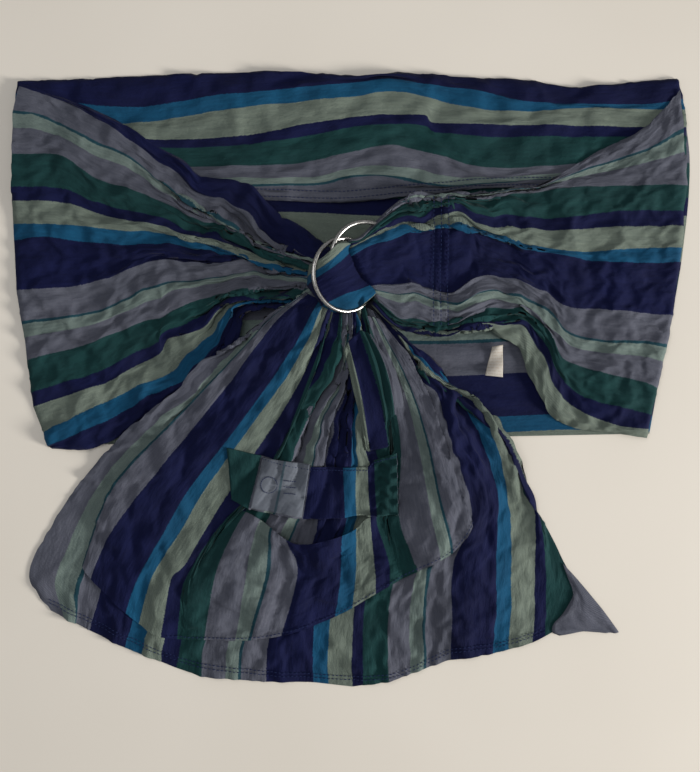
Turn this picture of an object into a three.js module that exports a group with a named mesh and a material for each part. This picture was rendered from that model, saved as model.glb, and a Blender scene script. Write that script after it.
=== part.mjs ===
// A ring sling for carrying a baby, laid flat: one long striped cloth whose ends meet at two metal rings.
// The cloth forms a loop (back, two side folds, two front panels), passes through the rings and ends in
// a free tail with a pocket. Millimetres, +Z up, +X to the right, origin under the centre of the object.
import * as THREE from "three";

// ---------------------------------------------------------------- driving dimensions
const HALF_WIDTH = 379; // of the whole object, across the two side folds
const HALF_DEPTH = 344; // from the top fold to the tail's hem
const CLOTH = 2; // a laid layer of cloth with its creases
const GAP = 0.3; // clear space between pieces that touch
const HEM_WIDTH = 10;
const HEM_STEPS = 16; // straight stretches that the curved hem is drawn with
const RAIL_FOLD_Y = 211; // lower edge of the top rail where it is folded down over the back

const RING_RADIUS = 39.5; // to the middle of the wire
const WIRE_RADIUS = 2.5;
const FRONT_RING = { centre: [-7, 113, 32], tilt: 31 }; // degrees about Y, left side up
const REAR_RING = { centre: [16, 131, 34], tilt: 20 };

const SHOULDER_LEFT = 84; // the sewn pleats lie between these two
const SHOULDER_RIGHT = 112;
const SHOULDER_LOW = 58;
const SHOULDER_HIGH = 204;
const PLEATS = 9;
const PLEAT_TOP = 22;
const PLEAT_DEPTH = 3;
const STITCH_ROWS = [90, 98, 106];

const THROAT_LEFT = -60; // where the left front panel becomes a gathered bundle
const GATHER_TOP = 17;
const TAIL_BREAK_Y = 35; // the tail bends up and down here
const LOOP_BOTTOM_Y = -80; // the tail steps down to the floor past the loop's lower edge
const POCKET_RISE = 8;
const FLAP_SEAM_Y = -76;
const FLAP_UNDERSIDE = 12.6;

const BACK_TOP = CLOTH;
const RAIL_TOP = BACK_TOP + GAP + CLOTH;
const FRONT_BOTTOM = RAIL_TOP + GAP;

// ---------------------------------------------------------------- colours
const NAVY = 0x1a2046;
const GREY = 0x5c6070;
const SAGE = 0x7d9182;
const GREEN = 0x1f5a4c;
const BLUE = 0x0e5a86;
const CREAM = 0xe6ddd0;
const STEEL = 0xc9c9c6;

function cloth(colour) {
  return new THREE.MeshStandardMaterial({ color: colour, roughness: 0.9, metalness: 0 });
}

function metal() {
  return new THREE.MeshStandardMaterial({ color: STEEL, roughness: 0.3, metalness: 1 });
}

// ---------------------------------------------------------------- surfaces and solids
const lerp = THREE.MathUtils.lerp;
const smooth = THREE.MathUtils.smoothstep;

// A smooth plan curve through hand-chosen [x, y] points; call it with 0 to 1.
function curve(points) {
  const line = new THREE.CatmullRomCurve3(points.map(([x, y]) => new THREE.Vector3(x, y, 0)), false, "centripetal");
  return (u) => line.getPointAt(u);
}

// A grid of plan points between two curves, with a height from height(x, y, u, v).
function gridBetween(first, second, across, along, height) {
  const rows = [];
  for (let i = 0; i <= along; i++) {
    const u = i / along;
    const a = first(u);
    const b = second(u);
    const row = [];
    for (let j = 0; j <= across; j++) {
      const v = j / across;
      const x = lerp(a.x, b.x, v);
      const y = lerp(a.y, b.y, v);
      row.push(new THREE.Vector3(x, y, height(x, y, u, v)));
    }
    rows.push(row);
  }
  return rows;
}

function signedVolume(positions, triangles) {
  const [a, b, c] = [new THREE.Vector3(), new THREE.Vector3(), new THREE.Vector3()];
  let volume = 0;
  for (let i = 0; i < triangles.length; i += 3) {
    a.fromArray(positions, 3 * triangles[i]);
    b.fromArray(positions, 3 * triangles[i + 1]);
    c.fromArray(positions, 3 * triangles[i + 2]);
    volume += a.dot(b.cross(c)) / 6;
  }
  return volume;
}

// The closed solid between two grids of the same size, with walls along their four edges.
function solidBetween(upper, lower) {
  const rows = upper.length;
  const columns = upper[0].length;
  const positions = [...upper.flat(), ...lower.flat()].flatMap((p) => p.toArray());
  const at = (side, i, j) => side * rows * columns + i * columns + j;
  const triangles = [];
  const quad = (a, b, c, d) => triangles.push(a, b, c, a, c, d);
  for (let i = 0; i + 1 < rows; i++) {
    for (let j = 0; j + 1 < columns; j++) {
      quad(at(0, i, j), at(0, i + 1, j), at(0, i + 1, j + 1), at(0, i, j + 1));
      quad(at(1, i, j), at(1, i, j + 1), at(1, i + 1, j + 1), at(1, i + 1, j));
    }
    quad(at(0, i, 0), at(1, i, 0), at(1, i + 1, 0), at(0, i + 1, 0));
    quad(at(0, i, columns - 1), at(0, i + 1, columns - 1), at(1, i + 1, columns - 1), at(1, i, columns - 1));
  }
  for (let j = 0; j + 1 < columns; j++) {
    quad(at(0, 0, j), at(0, 0, j + 1), at(1, 0, j + 1), at(1, 0, j));
    quad(at(0, rows - 1, j), at(1, rows - 1, j), at(1, rows - 1, j + 1), at(0, rows - 1, j + 1));
  }
  if (signedVolume(positions, triangles) < 0) triangles.reverse();
  const geometry = new THREE.BufferGeometry();
  geometry.setAttribute("position", new THREE.Float32BufferAttribute(positions, 3));
  geometry.setIndex(triangles);
  geometry.computeVertexNormals();
  return geometry;
}

// The solid over a plan between two curves, from low(x, y) up to high(x, y).
function layer(first, second, across, along, low, high) {
  return solidBetween(
    gridBetween(first, second, across, along, high),
    gridBetween(first, second, across, along, low),
  );
}

function flatSlab(points, low, high) {
  const shape = new THREE.Shape(points.map(([x, y]) => new THREE.Vector2(x, y)));
  const geometry = new THREE.ExtrudeGeometry(shape, { depth: high - low, bevelEnabled: false });
  return geometry.translate(0, 0, low);
}

// ---------------------------------------------------------------- how high the layers lie
// Top of the front panels: low at the side folds, heaped up where the cloth gathers at the rings.
function frontTop(x, y) {
  const heap = 16;
  const reach = 120;
  const distance = Math.hypot(x + 10, y - 110);
  return FRONT_BOTTOM + CLOTH + heap * Math.exp(-((distance / reach) ** 2));
}

// Underside and top of the tail: over the front panels, then down on the floor.
function tailBottom(x, y) {
  const step = 40;
  const onLoop = smooth(y, LOOP_BOTTOM_Y - step, LOOP_BOTTOM_Y);
  return onLoop * (frontTop(x, y) + 2 * GAP);
}

function tailTop(x, y) {
  return tailBottom(x, y) + CLOTH;
}

// ---------------------------------------------------------------- plan curves of the cloth
const leftFold = curve([
  [-371, 330],
  [-HALF_WIDTH, 206],
  [-366, 55],
  [-340, -72],
]);
const leftThroat = curve([
  [THROAT_LEFT, 174],
  [THROAT_LEFT, 94],
]);
const rightFrontUpper = curve([
  [366, 326],
  [278, 240],
  [180, 206],
  [SHOULDER_RIGHT + GAP, SHOULDER_HIGH],
]);
const rightFrontLower = curve([
  [334, -58],
  [250, -24],
  [228, 30],
  [190, 68],
  [SHOULDER_RIGHT + GAP, SHOULDER_LOW],
]);
const tailLeft = curve([
  [-134, TAIL_BREAK_Y - GAP],
  [-265, -68],
  [-325, -140],
  [-358, -212],
  [-336, -246],
]);
const tailRight = curve([
  [57, TAIL_BREAK_Y - GAP],
  [110, -7],
  [170, -62],
  [214, -140],
  [252, -271],
]);
const hemLine = curve([
  [-336, -246],
  [-248, -290],
  [-97, -325],
  [4, -333],
  [110, -301],
  [252, -271],
]);

// ---------------------------------------------------------------- the loop
function backPanel() {
  const outline = [
    [-371, 334],
    [-80, 342],
    [54, HALF_DEPTH],
    [245, 328],
    [364, 337],
    [HALF_WIDTH, 245],
    [369, 133],
    [346, 10],
    [333, -61],
    [-338, -74],
    [-366, 55],
    [-HALF_WIDTH, 206],
  ];
  return flatSlab(outline, 0, BACK_TOP);
}

function topRailFold() {
  const outline = [
    [-366, 330],
    [-80, 339],
    [54, 341],
    [245, 325],
    [360, 334],
    [372, 245],
    [368, RAIL_FOLD_Y],
    [-372, RAIL_FOLD_Y],
  ];
  return flatSlab(outline, BACK_TOP + GAP, RAIL_TOP);
}

function topRailHem() {
  const halfLength = 340;
  const high = RAIL_FOLD_Y - GAP;
  const outline = [
    [-halfLength, high],
    [halfLength, high],
    [halfLength, high - HEM_WIDTH],
    [-halfLength, high - HEM_WIDTH],
  ];
  return flatSlab(outline, BACK_TOP + GAP, RAIL_TOP);
}

function leftFrontPanel() {
  return solidBetween(
    panelToThroat(frontTop),
    panelToThroat(() => FRONT_BOTTOM),
  );
}

// Rows run from the left fold to the throat; the upper and lower edges bow in as the cloth is drawn together.
function panelToThroat(height) {
  const along = 12;
  const across = 10;
  const bow = 26;
  const rows = [];
  for (let i = 0; i <= along; i++) {
    const u = i / along;
    const row = [];
    for (let j = 0; j <= across; j++) {
      const v = j / across;
      const a = leftFold(v);
      const b = leftThroat(v);
      const side = 2 * v - 1; // -1 at the upper rail, 1 at the lower
      const drawnIn = bow * side * Math.abs(side) * Math.sin(Math.PI * u);
      const x = lerp(a.x, b.x, u);
      const y = lerp(a.y, b.y, u) + drawnIn;
      row.push(new THREE.Vector3(x, y, height(x, y)));
    }
    rows.push(row);
  }
  return rows;
}

function rightFrontPanel() {
  return layer(rightFrontUpper, rightFrontLower, 10, 12, () => FRONT_BOTTOM, frontTop);
}

// The lower rail hangs out from under the right front panel as a soft roll.
function lowerRail() {
  const inner = curve([
    [172, 52],
    [196, 0],
    [226, -44],
    [300, -62],
  ]);
  const outer = curve([
    [184, 56],
    [215, 6],
    [238, -28],
    [300, -50],
  ]);
  const rise = 6;
  const high = (x, y, u, v) => RAIL_TOP + rise * Math.sin(Math.PI * v);
  return layer(inner, outer, 4, 10, () => BACK_TOP + GAP, high);
}

// A printed tape sewn on by its right edge.
function careLabel() {
  const width = 21;
  const length = 42;
  const thickness = 0.8;
  const centre = [158, 22, 8.4];
  return new THREE.BoxGeometry(width, length, thickness).translate(...centre);
}

// ---------------------------------------------------------------- shoulder, ring loop and gathers
function pleatTop(y) {
  const turn = (PLEATS * Math.PI * (y - SHOULDER_LOW)) / (SHOULDER_HIGH - SHOULDER_LOW);
  return PLEAT_TOP - PLEAT_DEPTH + PLEAT_DEPTH * Math.abs(Math.sin(turn));
}

function acrossShoulder(left, right, low, high) {
  const upper = curve([
    [left, SHOULDER_HIGH],
    [left, SHOULDER_LOW],
  ]);
  const lower = curve([
    [right, SHOULDER_HIGH],
    [right, SHOULDER_LOW],
  ]);
  return layer(upper, lower, 1, 4 * PLEATS, low, high);
}

function shoulderPleats() {
  const bottom = RAIL_TOP + 2 * GAP;
  return acrossShoulder(SHOULDER_LEFT + GAP, SHOULDER_RIGHT, () => bottom, (x, y) => pleatTop(y));
}

function stitchRow(x) {
  const half = 0.6;
  const thread = 0.8;
  return acrossShoulder(
    x - half,
    x + half,
    (px, y) => pleatTop(y) + GAP,
    (px, y) => pleatTop(y) + GAP + thread,
  );
}

// Where the front ring's right arc lies in plan.
function ringArcX(y) {
  const [cx, cy] = FRONT_RING.centre;
  const flattened = RING_RADIUS * Math.cos(THREE.MathUtils.degToRad(FRONT_RING.tilt));
  return cx + flattened * Math.sqrt(Math.max(0, 1 - ((y - cy) / RING_RADIUS) ** 2));
}

// A band of cloth from the shoulder, over the rings' right arcs, round them and back underneath.
function ringLoop() {
  const thick = 3;
  const highest = 41; // at the bend, falling towards the shoulder
  const lowest = FRONT_BOTTOM;
  const across = 8;
  const along = 5; // steps of the upper and of the lower layer
  const round = 6; // steps of the bend
  const lowEdge = (t) => lerp(97, SHOULDER_LOW + 4, t);
  const highEdge = (t) => lerp(148, SHOULDER_HIGH - 4, t);
  const bendInset = 11; // how far the bend stands left of the front ring's wire
  const bendDepth = 8;
  const surface = (inset) => {
    const rows = [];
    for (let i = 0; i <= 2 * along + round; i++) {
      const row = [];
      for (let j = 0; j <= across; j++) {
        const v = j / across;
        const bendY = lerp(lowEdge(0), highEdge(0), v);
        const half = (highest - lowest) / 2 - inset;
        const middle = (highest + lowest) / 2;
        const bendX = ringArcX(bendY) - bendInset + bendDepth;
        const onUpper = i <= along;
        const onLower = i >= along + round;
        let t = 0;
        let x = bendX;
        let z = middle;
        if (onUpper || onLower) {
          t = onUpper ? 1 - i / along : (i - along - round) / along;
          x = lerp(bendX, SHOULDER_LEFT, t);
          z = onUpper ? lerp(highest, PLEAT_TOP, t) - inset : lowest + inset;
        } else {
          const angle = Math.PI * (0.5 + (i - along) / round);
          x = bendX + (bendDepth - inset) * Math.cos(angle);
          z = middle + half * Math.sin(angle);
        }
        row.push(new THREE.Vector3(x, lerp(lowEdge(t), highEdge(t), v), z));
      }
      rows.push(row);
    }
    return rows;
  };
  return solidBetween(surface(0), surface(thick));
}

function ring({ centre, tilt }) {
  const aroundWire = 10;
  const aroundRing = 48;
  const geometry = new THREE.TorusGeometry(RING_RADIUS, WIRE_RADIUS, aroundWire, aroundRing);
  return geometry.rotateY(THREE.MathUtils.degToRad(tilt)).translate(...centre);
}

// The cloth comes up through both rings, over the rear ring's lower left arc and down again.
function ringWrap() {
  const length = 28; // along the arc
  const legBottom = 28;
  const outerHalf = 10.4;
  const innerHalf = 6.4;
  const outerTop = 55;
  const innerTop = 50.7;
  const corner = 5;
  const onRearRing = [-11.3, 107.5, 0];
  const shape = new THREE.Shape();
  shape.moveTo(-outerHalf, legBottom);
  shape.lineTo(-innerHalf, legBottom);
  shape.lineTo(-innerHalf, innerTop - corner);
  shape.quadraticCurveTo(-innerHalf, innerTop, 0, innerTop);
  shape.quadraticCurveTo(innerHalf, innerTop, innerHalf, innerTop - corner);
  shape.lineTo(innerHalf, legBottom);
  shape.lineTo(outerHalf, legBottom);
  shape.lineTo(outerHalf, outerTop - corner);
  shape.quadraticCurveTo(outerHalf, outerTop, 0, outerTop);
  shape.quadraticCurveTo(-outerHalf, outerTop, -outerHalf, outerTop - corner);
  const options = { depth: length, bevelEnabled: false, curveSegments: 4 };
  const geometry = new THREE.ExtrudeGeometry(shape, options).translate(0, 0, -length / 2);
  geometry.rotateX(Math.PI / 2); // the outline now stands up, extruded along Y
  geometry.rotateZ(Math.PI / 4); // across the arc, which runs from upper left to lower right
  return geometry.translate(...onRearRing);
}

// The left panel's folds drawn together under both rings.
function leftGathers() {
  const upper = curve([
    [THROAT_LEFT + GAP, 172],
    [-38, 152],
    [-15, 138],
  ]);
  const lower = curve([
    [THROAT_LEFT + GAP, 96],
    [-38, 97],
    [-15, 99],
  ]);
  const folds = 4;
  const depth = 2;
  const ripple = (x, y, u, v) => GATHER_TOP - depth + depth * Math.abs(Math.cos(folds * Math.PI * v));
  return layer(upper, lower, 16, 4, () => FRONT_BOTTOM, ripple);
}

// The same cloth leaving the rings again, under the front ring's lower left arc.
function tailGathers() {
  const left = curve([
    [-44, 90],
    [-95, 62],
    [-134, TAIL_BREAK_Y],
  ]);
  const right = curve([
    [-6, 80],
    [14, 60],
    [57, TAIL_BREAK_Y],
  ]);
  return layer(left, right, 10, 6, tailBottom, (x, y) => tailTop(x, y) + GAP);
}

// ---------------------------------------------------------------- the tail
// Rows run down the tail between its two rails; the last row takes the curved line of the hem.
function tailPanel() {
  const down = 14;
  const rows = (height) => {
    const grid = gridBetween(tailLeft, tailRight, HEM_STEPS, down, () => 0);
    const straight = new THREE.LineCurve3(hemLine(0), hemLine(1));
    grid.forEach((row, i) => {
      const v = i / down;
      row.forEach((point, j) => {
        const u = j / HEM_STEPS;
        point.addScaledVector(hemLine(u).sub(straight.getPoint(u)), v * v);
        point.z = height(point.x, point.y);
      });
    });
    return grid;
  };
  return solidBetween(rows(tailTop), rows(tailBottom));
}

function tailHem() {
  const inner = (u) => hemLine(u).add(new THREE.Vector3(0, -GAP, 0));
  const outer = (u) => hemLine(u).add(new THREE.Vector3(0, -HEM_WIDTH, 0));
  return layer(inner, outer, 1, HEM_STEPS, () => 0, () => CLOTH + 1);
}

// The last corner of the tail is turned and lies past the hem.
function tailCorner() {
  const outline = [
    [254, -224],
    [296, -284],
    [254, -280],
  ];
  return flatSlab(outline, 0, CLOTH + 2);
}

// Slack cloth of the tail's middle, folded into a soft roll under the rings.
function tailRoll() {
  const left = curve([
    [-12, 32],
    [2, -20],
    [20, -62],
  ]);
  const right = curve([
    [30, 32],
    [52, -10],
    [54, -62],
  ]);
  const rise = 9;
  const high = (x, y, u, v) => tailTop(x, y) + GAP + 1 + rise * Math.sin(Math.PI * v);
  return layer(left, right, 6, 8, (x, y) => tailTop(x, y) + GAP, high);
}

// ---------------------------------------------------------------- pocket
const pocketMouth = curve([
  [-262, -146],
  [-110, -154],
  [30, -154],
  [128, -150],
]);
const pocketEdge = curve([
  [-282, -212],
  [-200, -286],
  [-80, -288],
  [24, -238],
  [134, -160],
]);

// The pocket's front lies on the tail along three sides and stands open at the mouth.
function pocketDome(x, y, u, v) {
  const sides = Math.sin(Math.PI * u) ** 0.5;
  const foot = Math.cos((Math.PI / 2) * v ** 3);
  return tailTop(x, y) + GAP + POCKET_RISE * Math.max(0, sides * foot);
}

function pocketBag() {
  const skin = 1.2;
  return layer(pocketMouth, pocketEdge, 10, 16, pocketDome, (x, y, u, v) => pocketDome(x, y, u, v) + skin);
}

// A stitched hem along the mouth.
function pocketHem() {
  const width = 6;
  const thickness = 1.6;
  const above = (u) => pocketMouth(u).add(new THREE.Vector3(0, GAP + width, 0));
  const below = (u) => pocketMouth(u).add(new THREE.Vector3(0, GAP, 0));
  const low = (x, y, u) => pocketDome(x, y, u, 0);
  return layer(above, below, 1, 16, low, (x, y, u) => low(x, y, u) + thickness);
}

// The seam that sews the pocket to the tail runs just outside its edge.
function pocketSeam() {
  const near = GAP + 0.5;
  const width = 1.5;
  const thread = 0.8;
  const inner = (u) => pocketEdge(u).add(new THREE.Vector3(0, -near, 0));
  const outer = (u) => pocketEdge(u).add(new THREE.Vector3(0, -near - width, 0));
  const low = (x, y) => tailTop(x, y) + GAP;
  return layer(inner, outer, 1, 24, low, (x, y) => low(x, y) + thread);
}

function pocketFlap() {
  const outline = [
    [-134, FLAP_SEAM_Y],
    [51, FLAP_SEAM_Y],
    [51, -148],
    [-58, -152],
    [-134, -144],
  ];
  return flatSlab(outline, FLAP_UNDERSIDE, FLAP_UNDERSIDE + CLOTH);
}

function flapPatch() {
  const outline = [
    [-99, -86],
    [-46, -90],
    [-54, -146],
    [-112, -140],
  ];
  const thickness = 0.8;
  const low = FLAP_UNDERSIDE + CLOTH + GAP;
  return flatSlab(outline, low, low + thickness);
}

// ---------------------------------------------------------------- assembly
const sling = new THREE.Group();

function add(name, geometry, material) {
  const mesh = new THREE.Mesh(geometry, material);
  mesh.name = name;
  sling.add(mesh);
}

add("back_panel", backPanel(), cloth(NAVY));
add("top_rail_fold", topRailFold(), cloth(SAGE));
add("top_rail_hem", topRailHem(), cloth(GREY));
add("left_front_panel", leftFrontPanel(), cloth(GREEN));
add("right_front_panel", rightFrontPanel(), cloth(NAVY));
add("lower_rail", lowerRail(), cloth(SAGE));
add("care_label", careLabel(), cloth(CREAM));
add("shoulder_pleats", shoulderPleats(), cloth(NAVY));
STITCH_ROWS.forEach((x, i) => add(`shoulder_stitching_${i + 1}`, stitchRow(x), cloth(BLUE)));
add("ring_loop", ringLoop(), cloth(NAVY));
add("front_ring", ring(FRONT_RING), metal());
add("rear_ring", ring(REAR_RING), metal());
add("ring_wrap", ringWrap(), cloth(NAVY));
add("left_gathers", leftGathers(), cloth(GREY));
add("tail_gathers", tailGathers(), cloth(GREY));
add("tail_panel", tailPanel(), cloth(NAVY));
add("tail_hem", tailHem(), cloth(GREY));
add("tail_corner", tailCorner(), cloth(GREY));
add("tail_roll", tailRoll(), cloth(SAGE));
add("pocket_bag", pocketBag(), cloth(GREEN));
add("pocket_hem", pocketHem(), cloth(GREY));
add("pocket_seam", pocketSeam(), cloth(NAVY));
add("pocket_flap", pocketFlap(), cloth(GREEN));
add("flap_patch", flapPatch(), cloth(GREY));

export default sling;
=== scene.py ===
import math

import bpy
import numpy as np
from mathutils import Matrix, Vector, noise

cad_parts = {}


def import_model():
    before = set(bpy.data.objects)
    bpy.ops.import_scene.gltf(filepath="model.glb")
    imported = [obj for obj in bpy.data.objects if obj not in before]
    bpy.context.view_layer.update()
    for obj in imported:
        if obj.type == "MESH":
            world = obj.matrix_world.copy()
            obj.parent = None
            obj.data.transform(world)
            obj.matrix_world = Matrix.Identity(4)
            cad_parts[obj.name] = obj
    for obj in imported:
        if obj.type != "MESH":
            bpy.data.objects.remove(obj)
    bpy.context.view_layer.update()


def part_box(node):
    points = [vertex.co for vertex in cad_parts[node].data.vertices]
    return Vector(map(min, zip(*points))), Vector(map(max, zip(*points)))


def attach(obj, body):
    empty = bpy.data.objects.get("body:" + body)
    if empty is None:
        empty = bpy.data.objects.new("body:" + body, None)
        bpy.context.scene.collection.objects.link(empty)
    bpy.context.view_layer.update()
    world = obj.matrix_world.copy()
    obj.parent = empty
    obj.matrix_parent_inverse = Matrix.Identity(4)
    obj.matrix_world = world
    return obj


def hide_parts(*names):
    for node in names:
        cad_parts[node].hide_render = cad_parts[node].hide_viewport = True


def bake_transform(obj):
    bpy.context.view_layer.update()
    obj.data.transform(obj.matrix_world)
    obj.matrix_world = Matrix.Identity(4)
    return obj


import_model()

MM = 0.001
CLOTH_MM = 0.9
TAPE_MM = 0.5
THREAD_RADIUS = 0.42

# ---------------------------------------------------------------- the cloth's stripes
# Widths in millimetres of one repeat, from the upper rail downwards.
STRIPES = [
    ("grey", 32),
    ("teal", 4),
    ("pale_sage", 16),
    ("grey", 29),
    ("green", 32),
    ("navy", 13),
    ("sage", 26),
    ("blue", 18),
    ("navy", 56),
]
REPEAT = sum(width for _, width in STRIPES)
# Linear colour, and how strongly the other thread shows through it.
YARNS = {
    "grey": ((0.066, 0.071, 0.092), 0.55),
    "teal": ((0.008, 0.036, 0.050), 0.25),
    "pale_sage": ((0.098, 0.130, 0.120), 0.75),
    "green": ((0.0055, 0.030, 0.031), 0.35),
    "navy": ((0.0025, 0.0042, 0.029), 0.25),
    "sage": ((0.098, 0.122, 0.102), 1.00),
    "blue": ((0.0035, 0.048, 0.104), 0.25),
}

# ---------------------------------------------------------------- measures from the frame
RAIL_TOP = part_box("top_rail_fold")[1].z / MM
SHOULDER_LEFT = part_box("shoulder_pleats")[0].x / MM
SHOULDER_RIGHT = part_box("shoulder_pleats")[1].x / MM
SHOULDER_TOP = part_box("shoulder_pleats")[1].z / MM
LOOP_LOW, LOOP_TOP = [corner.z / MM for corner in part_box("ring_loop")]


def middle_of(node):
    low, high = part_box(node)
    return (low + high) / 2 / MM


STITCH_BOXES = [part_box(f"shoulder_stitching_{i}") for i in (1, 2, 3)]
STITCH_ROWS = [(low.x + high.x) / 2 / MM for low, high in STITCH_BOXES]
WIRE_RADIUS = 2.5
RING_RADIUS = (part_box("front_ring")[1].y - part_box("front_ring")[0].y) / 2 / MM - WIRE_RADIUS
FRONT_CENTRE = middle_of("front_ring")
REAR_CENTRE = middle_of("rear_ring")
FRONT_TILT = math.radians(31)
REAR_TILT = math.radians(20)
# Where one long cloth is cut into pieces that stand for different parts.
GATHER_X = -60
GATHER_Y = 58
LOOP_X = 62
# The front's cloth is heaped up round a point beside the rings.
HEAP_X, HEAP_Y = -20, 110
HEAP_RADIUS = 110
HEAP_HEIGHT = 12
HEM_DEPTH = 10
# Places across the cloth where the pocket's mouth begins and ends; each is a soft change between two.
MOUTH_BEGINS = (318, 330)
MOUTH_ENDS = (556, 566)


# ---------------------------------------------------------------- curves and noise
def smoothstep(x, low, high):
    t = np.clip((x - low) / (high - low), 0, 1)
    return t * t * (3 - 2 * t)


def band(x, rise, fall):
    """1 on a stretch of x, 0 outside it, with soft ends."""
    return smoothstep(x, *rise) * (1 - smoothstep(x, *fall))


def hump(x, middle, width):
    return np.exp(-(((x - middle) / width) ** 2))


def mixed(a, b, share):
    return a * (1 - share) + b * share


def travelled(points):
    """How far along a line of points each of them lies."""
    return np.concatenate([[0], np.cumsum(np.linalg.norm(np.diff(points, axis=0), axis=1))])


def smooth_path(points, count):
    """count points evenly spaced along a smooth curve through the given ones."""
    p = np.array(points, float)
    p = np.vstack([2 * p[0] - p[1], p, 2 * p[-1] - p[-2]])
    fine = []
    steps = 24
    for i in range(1, len(p) - 2):
        for k in range(steps):
            t = k / steps
            a = 2 * p[i]
            b = p[i + 1] - p[i - 1]
            c = 2 * p[i - 1] - 5 * p[i] + 4 * p[i + 1] - p[i + 2]
            d = -p[i - 1] + 3 * p[i] - 3 * p[i + 1] + p[i + 2]
            fine.append(0.5 * (a + b * t + c * t * t + d * t**3))
    fine.append(p[-2])
    fine = np.array(fine)
    along = travelled(fine)
    at = np.linspace(0, along[-1], count)
    return np.stack([np.interp(at, along, fine[:, k]) for k in range(fine.shape[1])], axis=1)


def shifted(line, dx, dy):
    return [(x + dx, y + dy) for x, y in line]


def fold_noise(x, seed, detail=3):
    """A one-dimensional wavy line, about -1 to 1, with a wavelength of about 1."""
    flat = np.asarray(x, float)
    rng = np.random.default_rng(seed)
    total = np.zeros_like(flat)
    for k in range(detail):
        frequency = (1 + 0.7 * k) * (0.9 + 0.2 * rng.random())
        total += np.sin(2 * math.pi * (frequency * flat + rng.random())) / (1 + k)
    return total / 1.6


def wrinkle(x, y, scale_x, scale_y, seed):
    """Smooth noise over two arrays, about -1 to 1, stretched by the two scales."""
    out = np.empty(x.shape)
    for index in np.ndindex(x.shape):
        out[index] = noise.noise(Vector((x[index] / scale_x, y[index] / scale_y, seed * 7.3)))
    return out * 1.6


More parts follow.
